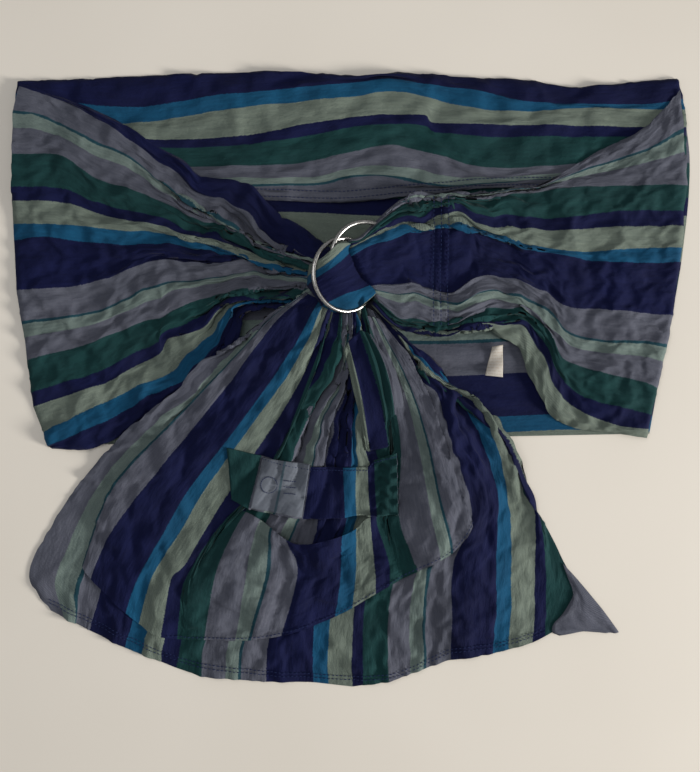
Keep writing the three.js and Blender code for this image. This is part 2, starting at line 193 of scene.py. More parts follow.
# ---------------------------------------------------------------- sheets of cloth
class Sheet:
    """A grid of points on a stretch of cloth, from guides that run along it.

    Each guide is (place across the cloth's width, plan points). x, y and z say where each grid point is,
    s how far along the cloth it lies, t the same from 0 to 1, and vv its place across; v is one row of vv."""

    def __init__(self, guides, along, across):
        paths = np.array([smooth_path(points, along + 1) for _, points in guides])
        places = np.array([place for place, _ in guides], float)
        sign = 1 if places[-1] > places[0] else -1
        self.v = np.linspace(places[0], places[-1], across + 1)
        plan = np.empty((along + 1, across + 1, 2))
        for i in range(along + 1):
            for k in range(2):
                plan[i, :, k] = np.interp(sign * self.v, sign * places, paths[:, i, k])
        self.take(plan)
        self.number_rows()
        self.s = np.repeat(travelled(plan[:, across // 2])[:, None], across + 1, axis=1)
        self.z = np.zeros_like(self.x)

    def take(self, plan):
        self.plan = plan
        self.x = plan[:, :, 0]
        self.y = plan[:, :, 1]

    def number_rows(self):
        rows, columns = self.x.shape
        self.t = np.repeat(np.linspace(0, 1, rows)[:, None], columns, axis=1)
        self.vv = np.repeat(self.v[None, :], rows, axis=0)

    def across(self):
        """The direction in plan from each column to the next, and how far that is."""
        step = np.gradient(self.plan, axis=1)
        length = np.maximum(np.linalg.norm(step, axis=2), 1e-6)
        return step / length[:, :, None], length

    def slide(self, distance):
        """Moves each point sideways, towards the next column."""
        direction, _ = self.across()
        self.take(self.plan + direction * distance[:, :, None])

    def pleat(self, pitch, deepest, lean, seed, where=1.0):
        """Folds that run along the cloth, as deep as the cloth drawn together there needs.

        The folds lie over to one side by lean millimetres for each millimetre of height."""
        _, length = self.across()
        drawn = np.maximum(abs(self.v[1] - self.v[0]) / length, 1.0)
        depth = np.minimum(pitch / (4 * drawn) * np.sqrt(drawn**2 - 1), 1.3 * pitch / drawn)
        depth = np.minimum(depth, deepest) * where
        wander = 0.35 * fold_noise(self.s / 260 + 0.002 * self.vv, seed, 2)
        turn = self.vv / pitch + wander + 0.45 * fold_noise(self.vv / (3.1 * pitch), seed + 1)
        height = depth * np.abs(np.cos(math.pi * turn)) ** 0.8
        height += 0.25 * depth * fold_noise(2.7 * turn, seed + 2, 2)
        self.slide(lean * height * (0.6 + 0.4 * fold_noise(self.vv / (5 * pitch), seed + 3, 2)))
        self.z += height

    def crease(self, size, along, across, seed, where=1.0):
        """Crumples of about size millimetres high, longer along the cloth than across it."""
        smooth = wrinkle(self.s, self.vv, along, across, seed)
        ridges = 1 - 2 * np.abs(wrinkle(self.s, self.vv, 0.8 * along, 0.7 * across, seed + 31))
        self.z += size * (0.55 * smooth + 0.45 * ridges) * where

    def crimp(self, size, wavelength, seed, where=1.0):
        """Sideways waves of the stripes, as in cloth that has been squeezed along its length."""
        wave = wrinkle(self.s, self.vv, wavelength, 3 * wavelength, seed)
        wave += 0.5 * wrinkle(self.s, self.vv, 0.45 * wavelength, 1.5 * wavelength, seed + 1)
        self.slide(size * wave * where)

    def settle(self, growth=0.05):
        """Lets a cloth simulation buckle the sheet a little, and keeps each point near where it was."""
        grids = (self.x, self.y, self.z, self.s, self.vv)
        coarse = [grid[::SETTLE_STEP, ::SETTLE_STEP] for grid in grids]
        moved = refined(buckled(coarse, growth), self.x.shape)
        _, spacing = self.across()
        room = spacing / abs(self.v[1] - self.v[0])
        self.take(self.plan + moved[:, :, :2] * np.clip(room, 0.08, 1)[:, :, None])
        self.z += moved[:, :, 2] * np.clip(1.8 * room, 0.3, 1)

    def round_edge(self, reach, drop, sides=(0, 1)):
        """Turns a rail's edge down; side 0 is the first guide's and 1 the last's."""
        _, length = self.across()
        for side in sides:
            distance = np.cumsum(length, axis=1) - length
            if side:
                distance = distance[:, -1:] - distance
            near = np.clip(distance / reach, 0, 1)
            self.z -= drop * (1 - np.sqrt(np.maximum(0, 1 - (1 - near) ** 2)))

    def round_start(self, reach, drop):
        """Turns the first rows down, where a panel goes round a side fold."""
        near = np.clip(self.s / reach, 0, 1)
        self.z -= drop * (1 - np.sqrt(1 - (1 - near) ** 2))

    def press_down(self, highest, where):
        """Holds the cloth below a height where it goes under the rings."""
        self.z = mixed(self.z, np.minimum(self.z, highest), where)

    def lie_on(self, pile, clearance=1.3):
        """Lifts the cloth clear of what is under it, and smooths the lifted places."""
        lowest = pile.under(self.x, self.y) + clearance
        self.z = np.maximum(self.z, lowest)
        for _ in range(3):
            z = self.z
            soft = z.copy()
            beside = z[1:-1, 1:-1] * 2 + z[:-2, 1:-1] + z[2:, 1:-1] + z[1:-1, :-2] + z[1:-1, 2:]
            soft[1:-1, 1:-1] = beside / 6
            self.z = np.maximum(soft, lowest)

    def turn_under(self, low, steps, back):
        """Adds rows that turn down at the last row and run back underneath for back millimetres."""
        heading = self.plan[-1] - self.plan[-3]
        heading /= np.linalg.norm(heading, axis=1)[:, None]
        radius = (self.z[-1] - low) / 2
        added = []
        for k in range(1, steps + 1):
            angle = math.pi * k / steps
            added.append((0.55 * radius * math.sin(angle), radius * (1 - math.cos(angle)), radius * angle))
        for k in range(1, steps + 1):
            under = back * k / steps
            added.append((np.full_like(radius, -under), 2 * radius, radius * math.pi + under))
        forward, down, further = [np.array(column) for column in zip(*added)]
        self.take(np.concatenate([self.plan, self.plan[-1] + heading * forward[:, :, None]]))
        self.z = np.concatenate([self.z, self.z[-1] - down])
        self.s = np.concatenate([self.s, self.s[-1] + further])
        self.number_rows()


# The cloth simulation: every second grid point, held softly where it is.
SETTLE_STEP = 2
SETTLE_FRAMES = 14
SETTLE_HOLD = 0.10
SETTLE_FURTHEST = 5.5
SETTLE_CLOTH = {
    "quality": 6,
    "mass": 0.2,
    "tension_stiffness": 40,
    "compression_stiffness": 40,
    "shear_stiffness": 12,
    "bending_stiffness": 0.15,
    "vertex_group_mass": "hold",
    "pin_stiffness": 2.0,
}


def vertex_positions(obj):
    flat = np.empty(3 * len(obj.data.vertices))
    obj.data.vertices.foreach_get("co", flat)
    return flat


def buckled(grids, growth):
    """How far, in mm, a cloth simulation moves each point of a grid when its cloth grows."""
    rows, columns = grids[0].shape
    obj = grid_object("settling", *grids, CLOTH)
    group = obj.vertex_groups.new(name="hold")
    index = np.arange(rows * columns).reshape(rows, columns)
    group.add(index.ravel().tolist(), SETTLE_HOLD, "REPLACE")
    group.add(index[[0, 1, -2, -1]].ravel().tolist(), 1.0, "REPLACE")
    cloth = obj.modifiers.new("cloth", "CLOTH")
    for key, value in SETTLE_CLOTH.items():
        setattr(cloth.settings, key, value)
    cloth.settings.shrink_min = -growth
    cloth.settings.effector_weights.gravity = 0.0
    cloth.collision_settings.use_collision = False
    cloth.point_cache.frame_start = 1
    cloth.point_cache.frame_end = SETTLE_FRAMES
    before = vertex_positions(obj)
    for frame_number in range(1, SETTLE_FRAMES + 1):
        bpy.context.scene.frame_set(frame_number)
    after = vertex_positions(obj.evaluated_get(bpy.context.evaluated_depsgraph_get()))
    mesh = obj.data
    bpy.data.objects.remove(obj)
    bpy.data.meshes.remove(mesh)
    moved = ((after - before) / MM).reshape(rows, columns, 3)
    length = np.linalg.norm(moved, axis=2)
    shorter = SETTLE_FURTHEST * np.tanh(length / SETTLE_FURTHEST) / np.maximum(length, 1e-6)
    return moved * shorter[:, :, None]


def refined(coarse, shape):
    """The values of a coarse grid read off on a finer one."""
    rows, columns, layers = coarse.shape
    at_row = np.linspace(0, rows - 1, shape[0])
    at_column = np.linspace(0, columns - 1, shape[1])
    fine = np.empty((*shape, layers))
    for k in range(layers):
        wide = np.array([np.interp(at_column, np.arange(columns), row) for row in coarse[:, :, k]])
        fine[:, :, k] = np.array([np.interp(at_row, np.arange(rows), column) for column in wide.T]).T
    return fine


class Pile:
    """How high the cloth laid so far stands, on a plan grid."""

    CELL = 2.0
    HALF = 420.0

    def __init__(self, other=None):
        count = int(2 * self.HALF / self.CELL)
        self.top = np.zeros((count, count)) if other is None else other.top.copy()

    def cell(self, values):
        return np.clip(((values + self.HALF) / self.CELL).astype(int), 0, len(self.top) - 1)

    def add(self, sheet):
        """Raises the pile to a sheet, read at nine points of each of its faces."""
        def between(g, a, b):
            near = (1 - b) * g[:-1, :-1] + b * g[:-1, 1:]
            far = (1 - b) * g[1:, :-1] + b * g[1:, 1:]
            return (1 - a) * near + a * far

        for a in (0, 1 / 3, 2 / 3):
            for b in (0, 1 / 3, 2 / 3):
                x, y, z = [between(grid, a, b) for grid in (sheet.x, sheet.y, sheet.z)]
                np.maximum.at(self.top, (self.cell(x), self.cell(y)), z)
        return self

    def under(self, x, y):
        """The pile's height at and right beside each point."""
        grown = self.top
        for axis in (0, 1):
            grown = np.maximum(grown, np.maximum(np.roll(grown, 1, axis), np.roll(grown, -1, axis)))
        return grown[self.cell(np.asarray(x)), self.cell(np.asarray(y))]


# ---------------------------------------------------------------- meshes
def mesh_object(name, points, faces, material):
    mesh = bpy.data.meshes.new(name)
    mesh.from_pydata(points, [], faces)
    mesh.polygons.foreach_set("use_smooth", [True] * len(mesh.polygons))
    mesh.materials.append(material)
    obj = bpy.data.objects.new(name, mesh)
    bpy.context.scene.collection.objects.link(obj)
    return obj


def grid_faces(rows, columns):
    index = np.arange(rows * columns).reshape(rows, columns)
    corners = [index[:-1, :-1], index[1:, :-1], index[1:, 1:], index[:-1, 1:]]
    return np.stack(corners, axis=2).reshape(-1, 4)


def kept_faces(x, y, keep):
    """The faces of a grid whose middles keep accepts; keep is a test of x and y, or None for all."""
    faces = grid_faces(*x.shape)
    if keep is None:
        return faces
    return faces[keep(x.ravel()[faces].mean(axis=1), y.ravel()[faces].mean(axis=1))]


def right_of(limit):
    return lambda x, y: x >= limit


def left_of(limit):
    return lambda x, y: x < limit


def above(limit):
    return lambda x, y: y >= limit


def below(limit):
    return lambda x, y: y < limit


def grid_object(name, x, y, z, u, v, material, keep=None):
    """A mesh with one vertex at each grid point of its faces; u and v are its cloth coordinates."""
    used, faces = np.unique(kept_faces(x, y, keep), return_inverse=True)
    faces = faces.reshape(-1, 4)
    points = np.stack([x, y, z], axis=2).reshape(-1, 3)[used] * MM
    first = points[faces[0]]
    if np.cross(first[1] - first[0], first[2] - first[1])[2] < 0:
        faces = faces[:, ::-1]
    obj = mesh_object(name, points.tolist(), faces.tolist(), material)
    layer = obj.data.uv_layers.new(name="cloth")
    corner = np.empty(len(obj.data.loops), int)
    obj.data.loops.foreach_get("vertex_index", corner)
    flat = np.stack([u.ravel(), v.ravel()], axis=1)[used] * MM
    layer.data.foreach_set("uv", flat[corner].ravel())
    return obj


def apply_modifiers(obj):
    depsgraph = bpy.context.evaluated_depsgraph_get()
    mesh = bpy.data.meshes.new_from_object(obj.evaluated_get(depsgraph), depsgraph=depsgraph)
    obj.modifiers.clear()
    old = obj.data
    obj.data = mesh
    bpy.data.meshes.remove(old)


def thicken(obj, thickness):
    solid = obj.modifiers.new("thickness", "SOLIDIFY")
    solid.thickness = thickness * MM
    solid.offset = -1
    solid.use_even_offset = False
    apply_modifiers(obj)
    return obj


def shade_as_whole(obj, sheet, keep):
    """Gives a piece cut from a sheet the whole sheet's normals, so that no seam shows at the cut."""
    points = np.stack([sheet.x, sheet.y, sheet.z], axis=2)
    normals = np.cross(np.gradient(points, axis=0), np.gradient(points, axis=1)).reshape(-1, 3)
    normals /= np.maximum(np.linalg.norm(normals, axis=1), 1e-9)[:, None]
    normals = normals[np.unique(kept_faces(sheet.x, sheet.y, keep))]
    own = np.array([vertex.normal for vertex in obj.data.vertices[: len(normals)]])
    sign = 1 if (own * normals).sum() > 0 else -1
    both_sides = np.concatenate([sign * normals, -sign * normals])
    obj.data.normals_split_custom_set_from_vertices(both_sides.tolist())


def cloth_object(name, sheet, keep=None):
    """A thick piece of the striped cloth: the whole sheet, or the part that keep accepts."""
    along = sheet.s + 400
    obj = grid_object(name, sheet.x, sheet.y, sheet.z, along, sheet.vv, CLOTH, keep)
    thicken(obj, CLOTH_MM)
    if keep is not None:
        shade_as_whole(obj, sheet, keep)
    return obj


def tape_object(name, sheet, material):
    return thicken(grid_object(name, sheet.x, sheet.y, sheet.z, sheet.s, sheet.vv, material), TAPE_MM)


# ---------------------------------------------------------------- materials
class Nodes:
    """A short way to build a material's node tree."""

    def __init__(self, name):
        self.material = bpy.data.materials.new(name)
        self.material.use_nodes = True
        self.tree = self.material.node_tree
        self.tree.nodes.clear()
        self.shader = self.add("ShaderNodeBsdfPrincipled")
        output = self.add("ShaderNodeOutputMaterial")
        self.link(self.shader.outputs[0], output.inputs["Surface"])

    def add(self, kind, **settings):
        node = self.tree.nodes.new(kind)
        for key, value in settings.items():
            setattr(node, key, value)
        return node

    def link(self, source, target):
        self.tree.links.new(source, target)

    def put(self, socket, value):
        if isinstance(value, (int, float, tuple)):
            socket.default_value = value
        else:
            self.link(value, socket)

    def put_all(self, node, values):
        for key, value in values.items():
            self.put(node.inputs[key], value)
        return node.outputs[0]

    def math(self, operation, a, b=0.0, c=0.0):
        return self.put_all(self.add("ShaderNodeMath", operation=operation), {0: a, 1: b, 2: c})

    def mix(self, factor, a, b, blend="MIX"):
        node = self.add("ShaderNodeMix", data_type="RGBA", blend_type=blend)
        self.put_all(node, {0: factor, 6: a, 7: b})
        return node.outputs[2]

    def noise(self, vector, scale, detail=2.0, roughness=0.5):
        values = {"Vector": vector, "Scale": scale, "Detail": detail, "Roughness": roughness}
        return self.put_all(self.add("ShaderNodeTexNoise"), values)

    def ramp(self, factor, stops, interpolation="LINEAR"):
        node = self.add("ShaderNodeValToRGB")
        node.color_ramp.interpolation = interpolation
        elements = node.color_ramp.elements
        while len(elements) > 1:
            elements.remove(elements[-1])
        for i, (position, colour) in enumerate(stops):
            element = elements[0] if i == 0 else elements.new(position)
            element.position = position
            element.color = (*colour, 1)
        self.link(factor, node.inputs[0])
        return node.outputs[0]

    def soft_ramp(self, factor, low, high):
        """From one colour to another over the middle of a noise's range."""
        return self.ramp(factor, [(0.3, low), (0.7, high)])

    def bump(self, height, distance, strength, under=None):
        values = {"Strength": strength, "Distance": distance, "Height": height}
        if under is not None:
            values["Normal"] = under
        return self.put_all(self.add("ShaderNodeBump"), values)

    def cloth_uv(self):
        return self.add("ShaderNodeUVMap", uv_map="cloth").outputs[0]

    def object_place(self):
        return self.add("ShaderNodeTexCoord").outputs["Object"]

    def split(self, vector):
        node = self.add("ShaderNodeSeparateXYZ")
        self.link(vector, node.inputs[0])
        return node.outputs

    def stretched(self, vector, scale, turn=0.0):
        values = {"Vector": vector, "Scale": scale, "Rotation": (0, 0, turn)}
        return self.put_all(self.add("ShaderNodeMapping"), values)

    def finish(self, colour, roughness, **others):
        """Sets the shader's inputs; a name's underscores stand for spaces."""
        values = {key.replace("_", " "): value for key, value in others.items()}
        self.put_all(self.shader, {"Base Color": colour, "Roughness": roughness, **values})
        return self.material


def twill(n, uv, period):
    """Fine diagonal ribs broken up by the single threads, from 0 to 1."""
    wave = n.add("ShaderNodeTexWave", wave_type="BANDS", bands_direction="X")
    n.put_all(wave, {
        "Vector": n.stretched(uv, (1, 1, 1), 0.7),
        "Scale": 2 * math.pi / (20 * period),
        "Distortion": 2.0,
        "Detail": 1.0,
        "Detail Scale": 2.0,
    })
    threads = n.noise(n.stretched(uv, (1, 1.5, 1)), 1.2 / period, 2.0, 0.7)
    return n.math("MULTIPLY_ADD", wave.outputs[1], 0.35, n.math("MULTIPLY", threads, 0.65))


def stripe_ramps(n, uv):
    """The yarn's colour, and how much the other thread shows, at each place across the cloth."""
    fuzz = n.math("MULTIPLY_ADD", n.noise(uv, 700), 0.0024, -0.0012)
    place = n.math("ADD", n.split(uv)[1], fuzz)
    turn = n.math("FRACT", n.math("ADD", n.math("DIVIDE", place, REPEAT * MM), 4.0))
    colours = []
    shows = []
    start = 0
    for name, width in STRIPES:
        colour, speckle = YARNS[name]
        colours.append((start / REPEAT, colour))
        shows.append((start / REPEAT, (speckle,) * 3))
        start += width
    return n.ramp(turn, colours, "CONSTANT"), n.ramp(turn, shows, "CONSTANT")


def striped_cloth():
    """The woven stripes: v of the cloth coordinates picks the yarn, and the twill mixes in the pale weft."""
    n = Nodes("striped_cloth")
    uv = n.cloth_uv()
    base, strength = stripe_ramps(n, uv)
    ribs = twill(n, uv, 0.0011)
    speckle = n.ramp(ribs, [(0.36, (0, 0, 0)), (0.64, (1, 1, 1))])
    light = n.mix(1.0, base, (1.55, 1.52, 1.50, 1), "MULTIPLY")
    dark = n.mix(1.0, base, (0.50, 0.50, 0.54, 1), "MULTIPLY")
    woven = n.mix(strength, base, n.mix(speckle, dark, light))
    slubs = n.noise(n.stretched(uv, (4, 44, 1)), 9.0, 4.0, 0.6)
    faded = n.soft_ramp(slubs, (0.84, 0.85, 0.87), (1.16, 1.15, 1.12))
    broad = n.noise(uv, 12.0, 4.0, 0.6)
    worn = n.soft_ramp(broad, (0.80, 0.81, 0.82), (1.22, 1.20, 1.18))
    crumple = n.bump(n.noise(n.stretched(uv, (1, 2.2, 1)), 60.0, 5.0, 0.62), 0.004, 0.55)
    return n.finish(
        n.mix(1.0, n.mix(1.0, woven, faded, "MULTIPLY"), worn, "MULTIPLY"),
        n.math("MULTIPLY_ADD", broad, 0.14, 0.80),
        Sheen_Weight=0.03,
        Sheen_Roughness=0.4,
        Specular_IOR_Level=0.14,
        Normal=n.bump(ribs, 0.0003, 0.5, crumple),
    )


def sewing_thread():
    """Dark blue thread with a fine twist."""
    n = Nodes("blue_thread")
    twist = n.noise(n.object_place(), 1500)
    colour = (0.010, 0.017, 0.060)
    shade = n.soft_ramp(twist, tuple(0.7 * c for c in colour), tuple(1.3 * c for c in colour))
    return n.finish(shade, 0.8, Specular_IOR_Level=0.12, Normal=n.bump(twist, 0.0003, 0.5))


def label_tape():
    """Cream satin tape with a generic block of small print; its cream is painted darker than its own colour,
    as painted shade on a tape that lies partly under the cloth.
    """
    n = Nodes("label_tape")
    uv = n.cloth_uv()
    lines = n.math("SINE", n.math("MULTIPLY", n.split(uv)[1], 2 * math.pi / 0.0042))
    broken = n.noise(n.stretched(uv, (1, 0.2, 1)), 900, 1.0)
    inked = n.math("MULTIPLY", n.math("GREATER_THAN", lines, 0.35), n.math("GREATER_THAN", broken, 0.47))
    threads = n.noise(n.stretched(uv, (1, 6, 1)), 900, 1.0)
    # Painted shade: the cream is darker than the tape's own colour, for the shade it lies in partly under the
    # cloth.
    painted_shade_cream = n.soft_ramp(threads, (0.30, 0.27, 0.23), (0.42, 0.39, 0.34))
    colour = n.mix(n.math("MULTIPLY", inked, 0.55), painted_shade_cream, (0.28, 0.22, 0.17, 1))
    return n.finish(colour, 0.55, Sheen_Weight=0.2, Normal=n.bump(threads, 0.0002, 0.5))


def patch_cloth():
    """Plain grey cloth with one darker band across it."""
    n = Nodes("patch_cloth")
    uv = n.cloth_uv()
    ribs = twill(n, uv, 0.0009)
    grey = n.ramp(ribs, [(0.35, (0.060, 0.070, 0.090)), (0.65, (0.105, 0.118, 0.142))])
    dark_band = n.math("COMPARE", n.split(uv)[0], 0.0265, 0.0013)
    colour = n.mix(n.math("MULTIPLY", dark_band, 0.8), grey, (0.014, 0.045, 0.062, 1))
    return n.finish(colour, 0.85, Sheen_Weight=0.1, Normal=n.bump(ribs, 0.0003, 0.5))


def ring_metal():
    """Cast ring metal, unevenly polished."""
    n = Nodes("ring_metal")
    position = n.object_place()
    marks = n.noise(n.stretched(position, (1, 1, 6)), 260, 4.0, 0.7)
    tint = n.soft_ramp(marks, (0.30, 0.29, 0.27), (0.48, 0.47, 0.45))
    rough = n.math("MULTIPLY_ADD", marks, 0.22, 0.16)
    return n.finish(tint, rough, Metallic=1.0, Normal=n.bump(n.noise(position, 900), 0.0001, 0.4))


def floor_material():
    n = Nodes("pale_floor")
    return n.finish(n.soft_ramp(n.noise(n.object_place(), 3.0), (0.66, 0.61, 0.53), (0.70, 0.65, 0.57)), 0.7)


CLOTH = striped_cloth()
THREAD = sewing_thread()
METAL = ring_metal()
TAPE = label_tape()
PATCH = patch_cloth()


# ---------------------------------------------------------------- guides
# Each is (place across the cloth, plan points).
# The upper rail, from its fold to its hem.
TOP_STRIP = [
    (200, [(-372, 333), (-214, 339), (-80, 344), (-2, 341), (54, 343), (189, 335), (250, 327),
           (323, 333), (364, 336)]),
    (170, [(-374, 318), (-248, 302), (-147, 316), (-7, 332), (54, 335), (155, 319), (200, 309),
           (323, 306), (370, 312)]),
    (152, [(-375, 300), (-250, 284), (-153, 298), (-7, 315), (54, 320), (122, 304), (178, 298),
           (267, 302), (372, 300)]),
    (126, [(-376, 275), (-220, 267), (-125, 271), (-2, 292), (77, 295), (99, 286), (211, 283),
           (278, 281), (373, 280)]),
    (81, [(-377, 250), (-203, 238), (-69, 240), (-7, 251), (45, 261), (99, 250), (155, 236), (256, 240),
          (374, 250)]),
    (36, [(-377, 230), (-226, 219), (-58, 218), (-7, 227), (30, 229), (94, 219), (144, 219), (250, 225),
          (374, 228)]),
    (0, [(-377, 208), (-226, 203), (-91, 200), (-7, 198), (54, 204), (99, 207), (144, 212), (250, 214),
         (372, 214)]),
]
# From the left fold to the rings.
LEFT_FRONT = [
    (190, [(-371, 330), (-319, 313), (-251, 284), (-186, 240), (-114, 215), (-73, 183), (-39, 160),
           (-12, 138)]),
    (226, [(-370, 326), (-319, 308), (-268, 281), (-219, 249), (-169, 212), (-119, 188), (-69, 144),
           (-14, 130)]),
    (262, [(-377, 296), (-343, 290), (-286, 263), (-244, 245), (-193, 207), (-148, 178), (-94, 150),
           (-16, 126)]),
    (307, [(-378, 251), (-324, 248), (-282, 223), (-226, 205), (-169, 183), (-124, 161), (-94, 143),
           (-18, 121)]),
    (352, [(-379, 199), (-319, 196), (-268, 181), (-219, 174), (-181, 164), (-122, 148), (-94, 136),
           (-18, 117)]),
    (378, [(-378, 174), (-319, 172), (-268, 168), (-219, 165), (-170, 158), (-122, 144), (-94, 132),
           (-18, 115)]),
    (396, [(-377, 155), (-341, 159), (-294, 153), (-219, 150), (-144, 142), (-122, 140), (-94, 129),
           (-18, 113)]),
    (452, [(-374, 99), (-319, 103), (-268, 114), (-219, 131), (-144, 130), (-117, 137), (-80, 120),
           (-18, 109)]),
    (484, [(-369, 65), (-319, 71), (-268, 82), (-231, 101), (-193, 111), (-142, 115), (-94, 117),
           (-18, 106)]),
    (504, [(-365, 46), (-294, 60), (-251, 75), (-193, 101), (-142, 110), (-94, 112), (-18, 103)]),
    (539, [(-362, 16), (-294, 35), (-219, 68), (-169, 91), (-119, 103), (-46, 101), (-18, 100)]),
    (578, [(-356, -31), (-268, 0), (-219, 30), (-208, 48), (-176, 60), (-143, 87), (-100, 94),
           (-18, 97)]),
    (604, [(-345, -59), (-282, -28), (-223, 0), (-186, 28), (-156, 54), (-139, 82), (-100, 92),
           (-18, 95)]),
    (622, [(-339, -75), (-268, -43), (-193, 2), (-154, 38), (-136, 71), (-117, 88), (-18, 93)]),
    (650, [(-335, -78), (-282, -75), (-192, -22), (-130, 42), (-111, 80), (-18, 90)]),
]
# From the right fold over the shoulder to the bend at the rings.
RIGHT_FRONT = [
    (226, [(366, 322), (323, 279), (267, 249), (217, 220), (189, 212), (144, 206), (108, 205), (80, 204),
           (56, 198), (29, 174), (10, 155), (-2, 150)]),
    (307, [(374, 215), (323, 215), (278, 214), (234, 212), (189, 207), (144, 201), (108, 199), (80, 199),
           (56, 192), (30, 171), (11, 153), (-1, 149)]),
    (339, [(371, 188), (323, 188), (278, 184), (234, 178), (189, 180), (144, 186), (108, 190), (82, 186),
           (58, 181), (32, 166), (12, 151), (0, 147)]),
    (352, [(371, 171), (323, 170), (278, 168), (234, 165), (189, 168), (144, 176), (108, 182), (82, 178),
           (56, 174), (33, 163), (12, 150), (1, 145)]),
    (378, [(369, 147), (323, 146), (278, 143), (234, 142), (189, 152), (150, 166), (108, 174), (77, 171),
           (53, 171), (29, 159), (12, 149), (2, 143)]),
    (396, [(367, 131), (323, 130), (278, 131), (234, 138), (189, 148), (150, 162), (108, 168), (77, 166),
           (46, 154), (27, 149), (14, 144), (4, 138)]),
    (424, [(363, 101), (323, 102), (278, 104), (234, 111), (205, 122), (160, 136), (108, 138), (77, 136),
           (48, 129), (30, 127), (20, 122), (12, 120)]),
    (452, [(359, 71), (323, 74), (278, 78), (236, 82), (211, 100), (166, 114), (133, 109), (104, 96),
           (73, 104), (50, 104), (34, 103), (24, 102)]),
    (484, [(352, 39), (323, 43), (278, 45), (240, 55), (217, 80), (178, 99), (144, 97), (104, 87),
           (75, 92), (58, 92), (40, 95), (26, 97)]),
    (504, [(348, 19), (323, 25), (278, 30), (245, 38), (217, 60), (178, 87), (144, 86), (104, 80),
           (75, 85), (58, 85), (41, 89), (27, 93)]),
    (533, [(341, -10), (323, -3), (278, 8), (236, 24), (220, 53), (189, 80), (144, 76), (104, 65),
           (73, 69), (54, 70), (42, 77), (28, 88)]),
    (565, [(334, -40), (301, -31), (256, -18), (228, 8), (217, 38), (192, 66), (144, 66), (104, 58),
           (71, 58), (51, 63), (40, 71), (28, 83)]),
    (578, [(331, -56), (290, -50), (250, -32), (225, -7), (211, 32), (185, 61), (144, 62), (104, 55),
           (71, 55), (51, 61), (39, 69), (27, 81)]),
    (600, [(330, -66), (290, -60), (250, -55), (220, -38), (200, 0), (182, 40), (144, 57), (104, 52),
           (71, 53), (50, 59), (38, 67), (26, 79)]),
]
# From under the rings out to the hem.
TAIL = [
    (750, [(-40, 104), (-94, 75), (-130, 46), (-170, 16), (-226, -35), (-265, -68), (-321, -136),
           (-359, -214), (-338, -258)]),
    (714, [(-38, 103), (-89, 66), (-119, 35), (-181, -29), (-248, -96), (-276, -136), (-304, -220),
           (-310, -272)]),
    (678, [(-36, 102), (-86, 59), (-117, 24), (-136, -7), (-164, -52), (-203, -88), (-259, -158),
           (-287, -259), (-293, -281)]),
    (622, [(-28, 98), (-44, 55), (-69, 27), (-97, -7), (-125, -52), (-181, -124), (-223, -203),
           (-237, -242), (-253, -300)]),
    (604, [(-24, 96), (-38, 49), (-60, 19), (-86, -12), (-134, -91), (-163, -124), (-209, -220),
           (-229, -287), (-234, -308)]),
    (578, [(-20, 94), (-33, 38), (-53, 4), (-74, -24), (-114, -91), (-158, -169), (-186, -220),
           (-209, -292), (-213, -316)]),
    (565, [(-16, 92), (-24, 32), (-49, -7), (-67, -35), (-100, -113), (-153, -203), (-175, -248),
           (-190, -292), (-196, -323)]),
    (533, [(-12, 90), (-21, 21), (-44, -24), (-60, -57), (-86, -136), (-130, -225), (-164, -292),
           (-168, -332)]),
    (452, [(-4, 86), (-7, 10), (-24, -57), (-38, -150), (-56, -205), (-82, -255), (-94, -300),
           (-96, -338)]),
    (396, [(2, 84), (1, -1), (-4, -68), (-7, -150), (-22, -205), (-38, -255), (-43, -300), (-43, -339)]),
    (352, [(8, 82), (15, -1), (15, -68), (26, -136), (18, -190), (6, -236), (1, -290), (1, -344)]),
    (307, [(14, 80), (38, -1), (54, -68), (71, -136), (62, -180), (46, -230), (40, -285), (41, -338)]),
    (226, [(26, 74), (77, -1), (99, -57), (131, -136), (128, -165), (114, -203), (110, -248),
           (109, -314)]),
    (170, [(34, 70), (71, 32), (110, -12), (138, -57), (158, -113), (161, -180), (160, -248),
           (158, -307)]),
    (126, [(40, 66), (79, 14), (144, -29), (175, -68), (200, -124), (206, -169), (204, -248),
           (202, -294)]),
    (104, [(42, 65), (80, 8), (122, -24), (161, -70), (190, -120), (213, -164), (224, -222),
           (226, -282)]),
    (84, [(44, 64), (78, 4), (103, -12), (134, -38), (156, -68), (185, -116), (216, -158), (236, -206),
          (250, -242)]),
]
# The flap over the pocket's mouth.
FLAP = [
    (565, [(-137, -76), (-136, -100), (-134, -134)]),
    (533, [(-99, -85), (-106, -112), (-114, -144)]),
    (486, [(-78, -91), (-82, -120), (-86, -150)]),
    (452, [(-45, -97), (-49, -126), (-54, -155)]),
    (396, [(-9, -98), (-8, -126), (-7, -153)]),
    (378, [(6, -98), (5, -126), (6, -151)]),
    (352, [(18, -98), (19, -126), (21, -151)]),
    (339, [(25, -90), (26, -120), (28, -151)]),
    (307, [(50, -82), (51, -116), (52, -151)]),
]
# Slack cloth folded into a flat roll under the rings.
ROLL = [
    (378, [(-8, 30), (-2, 4), (6, -30), (15, -79)]),
    (352, [(-4, 40), (4, 8), (12, -30), (19, -80)]),
    (339, [(8, 52), (22, 10), (33, -30), (41, -75)]),
    (322, [(13, 52), (28, 10), (38, -28), (44, -66)]),
    (300, [(17, 50), (35, 14), (44, -24), (48, -61)]),
    (278, [(22, 46), (44, 12), (55, -22), (59, -60)]),
]
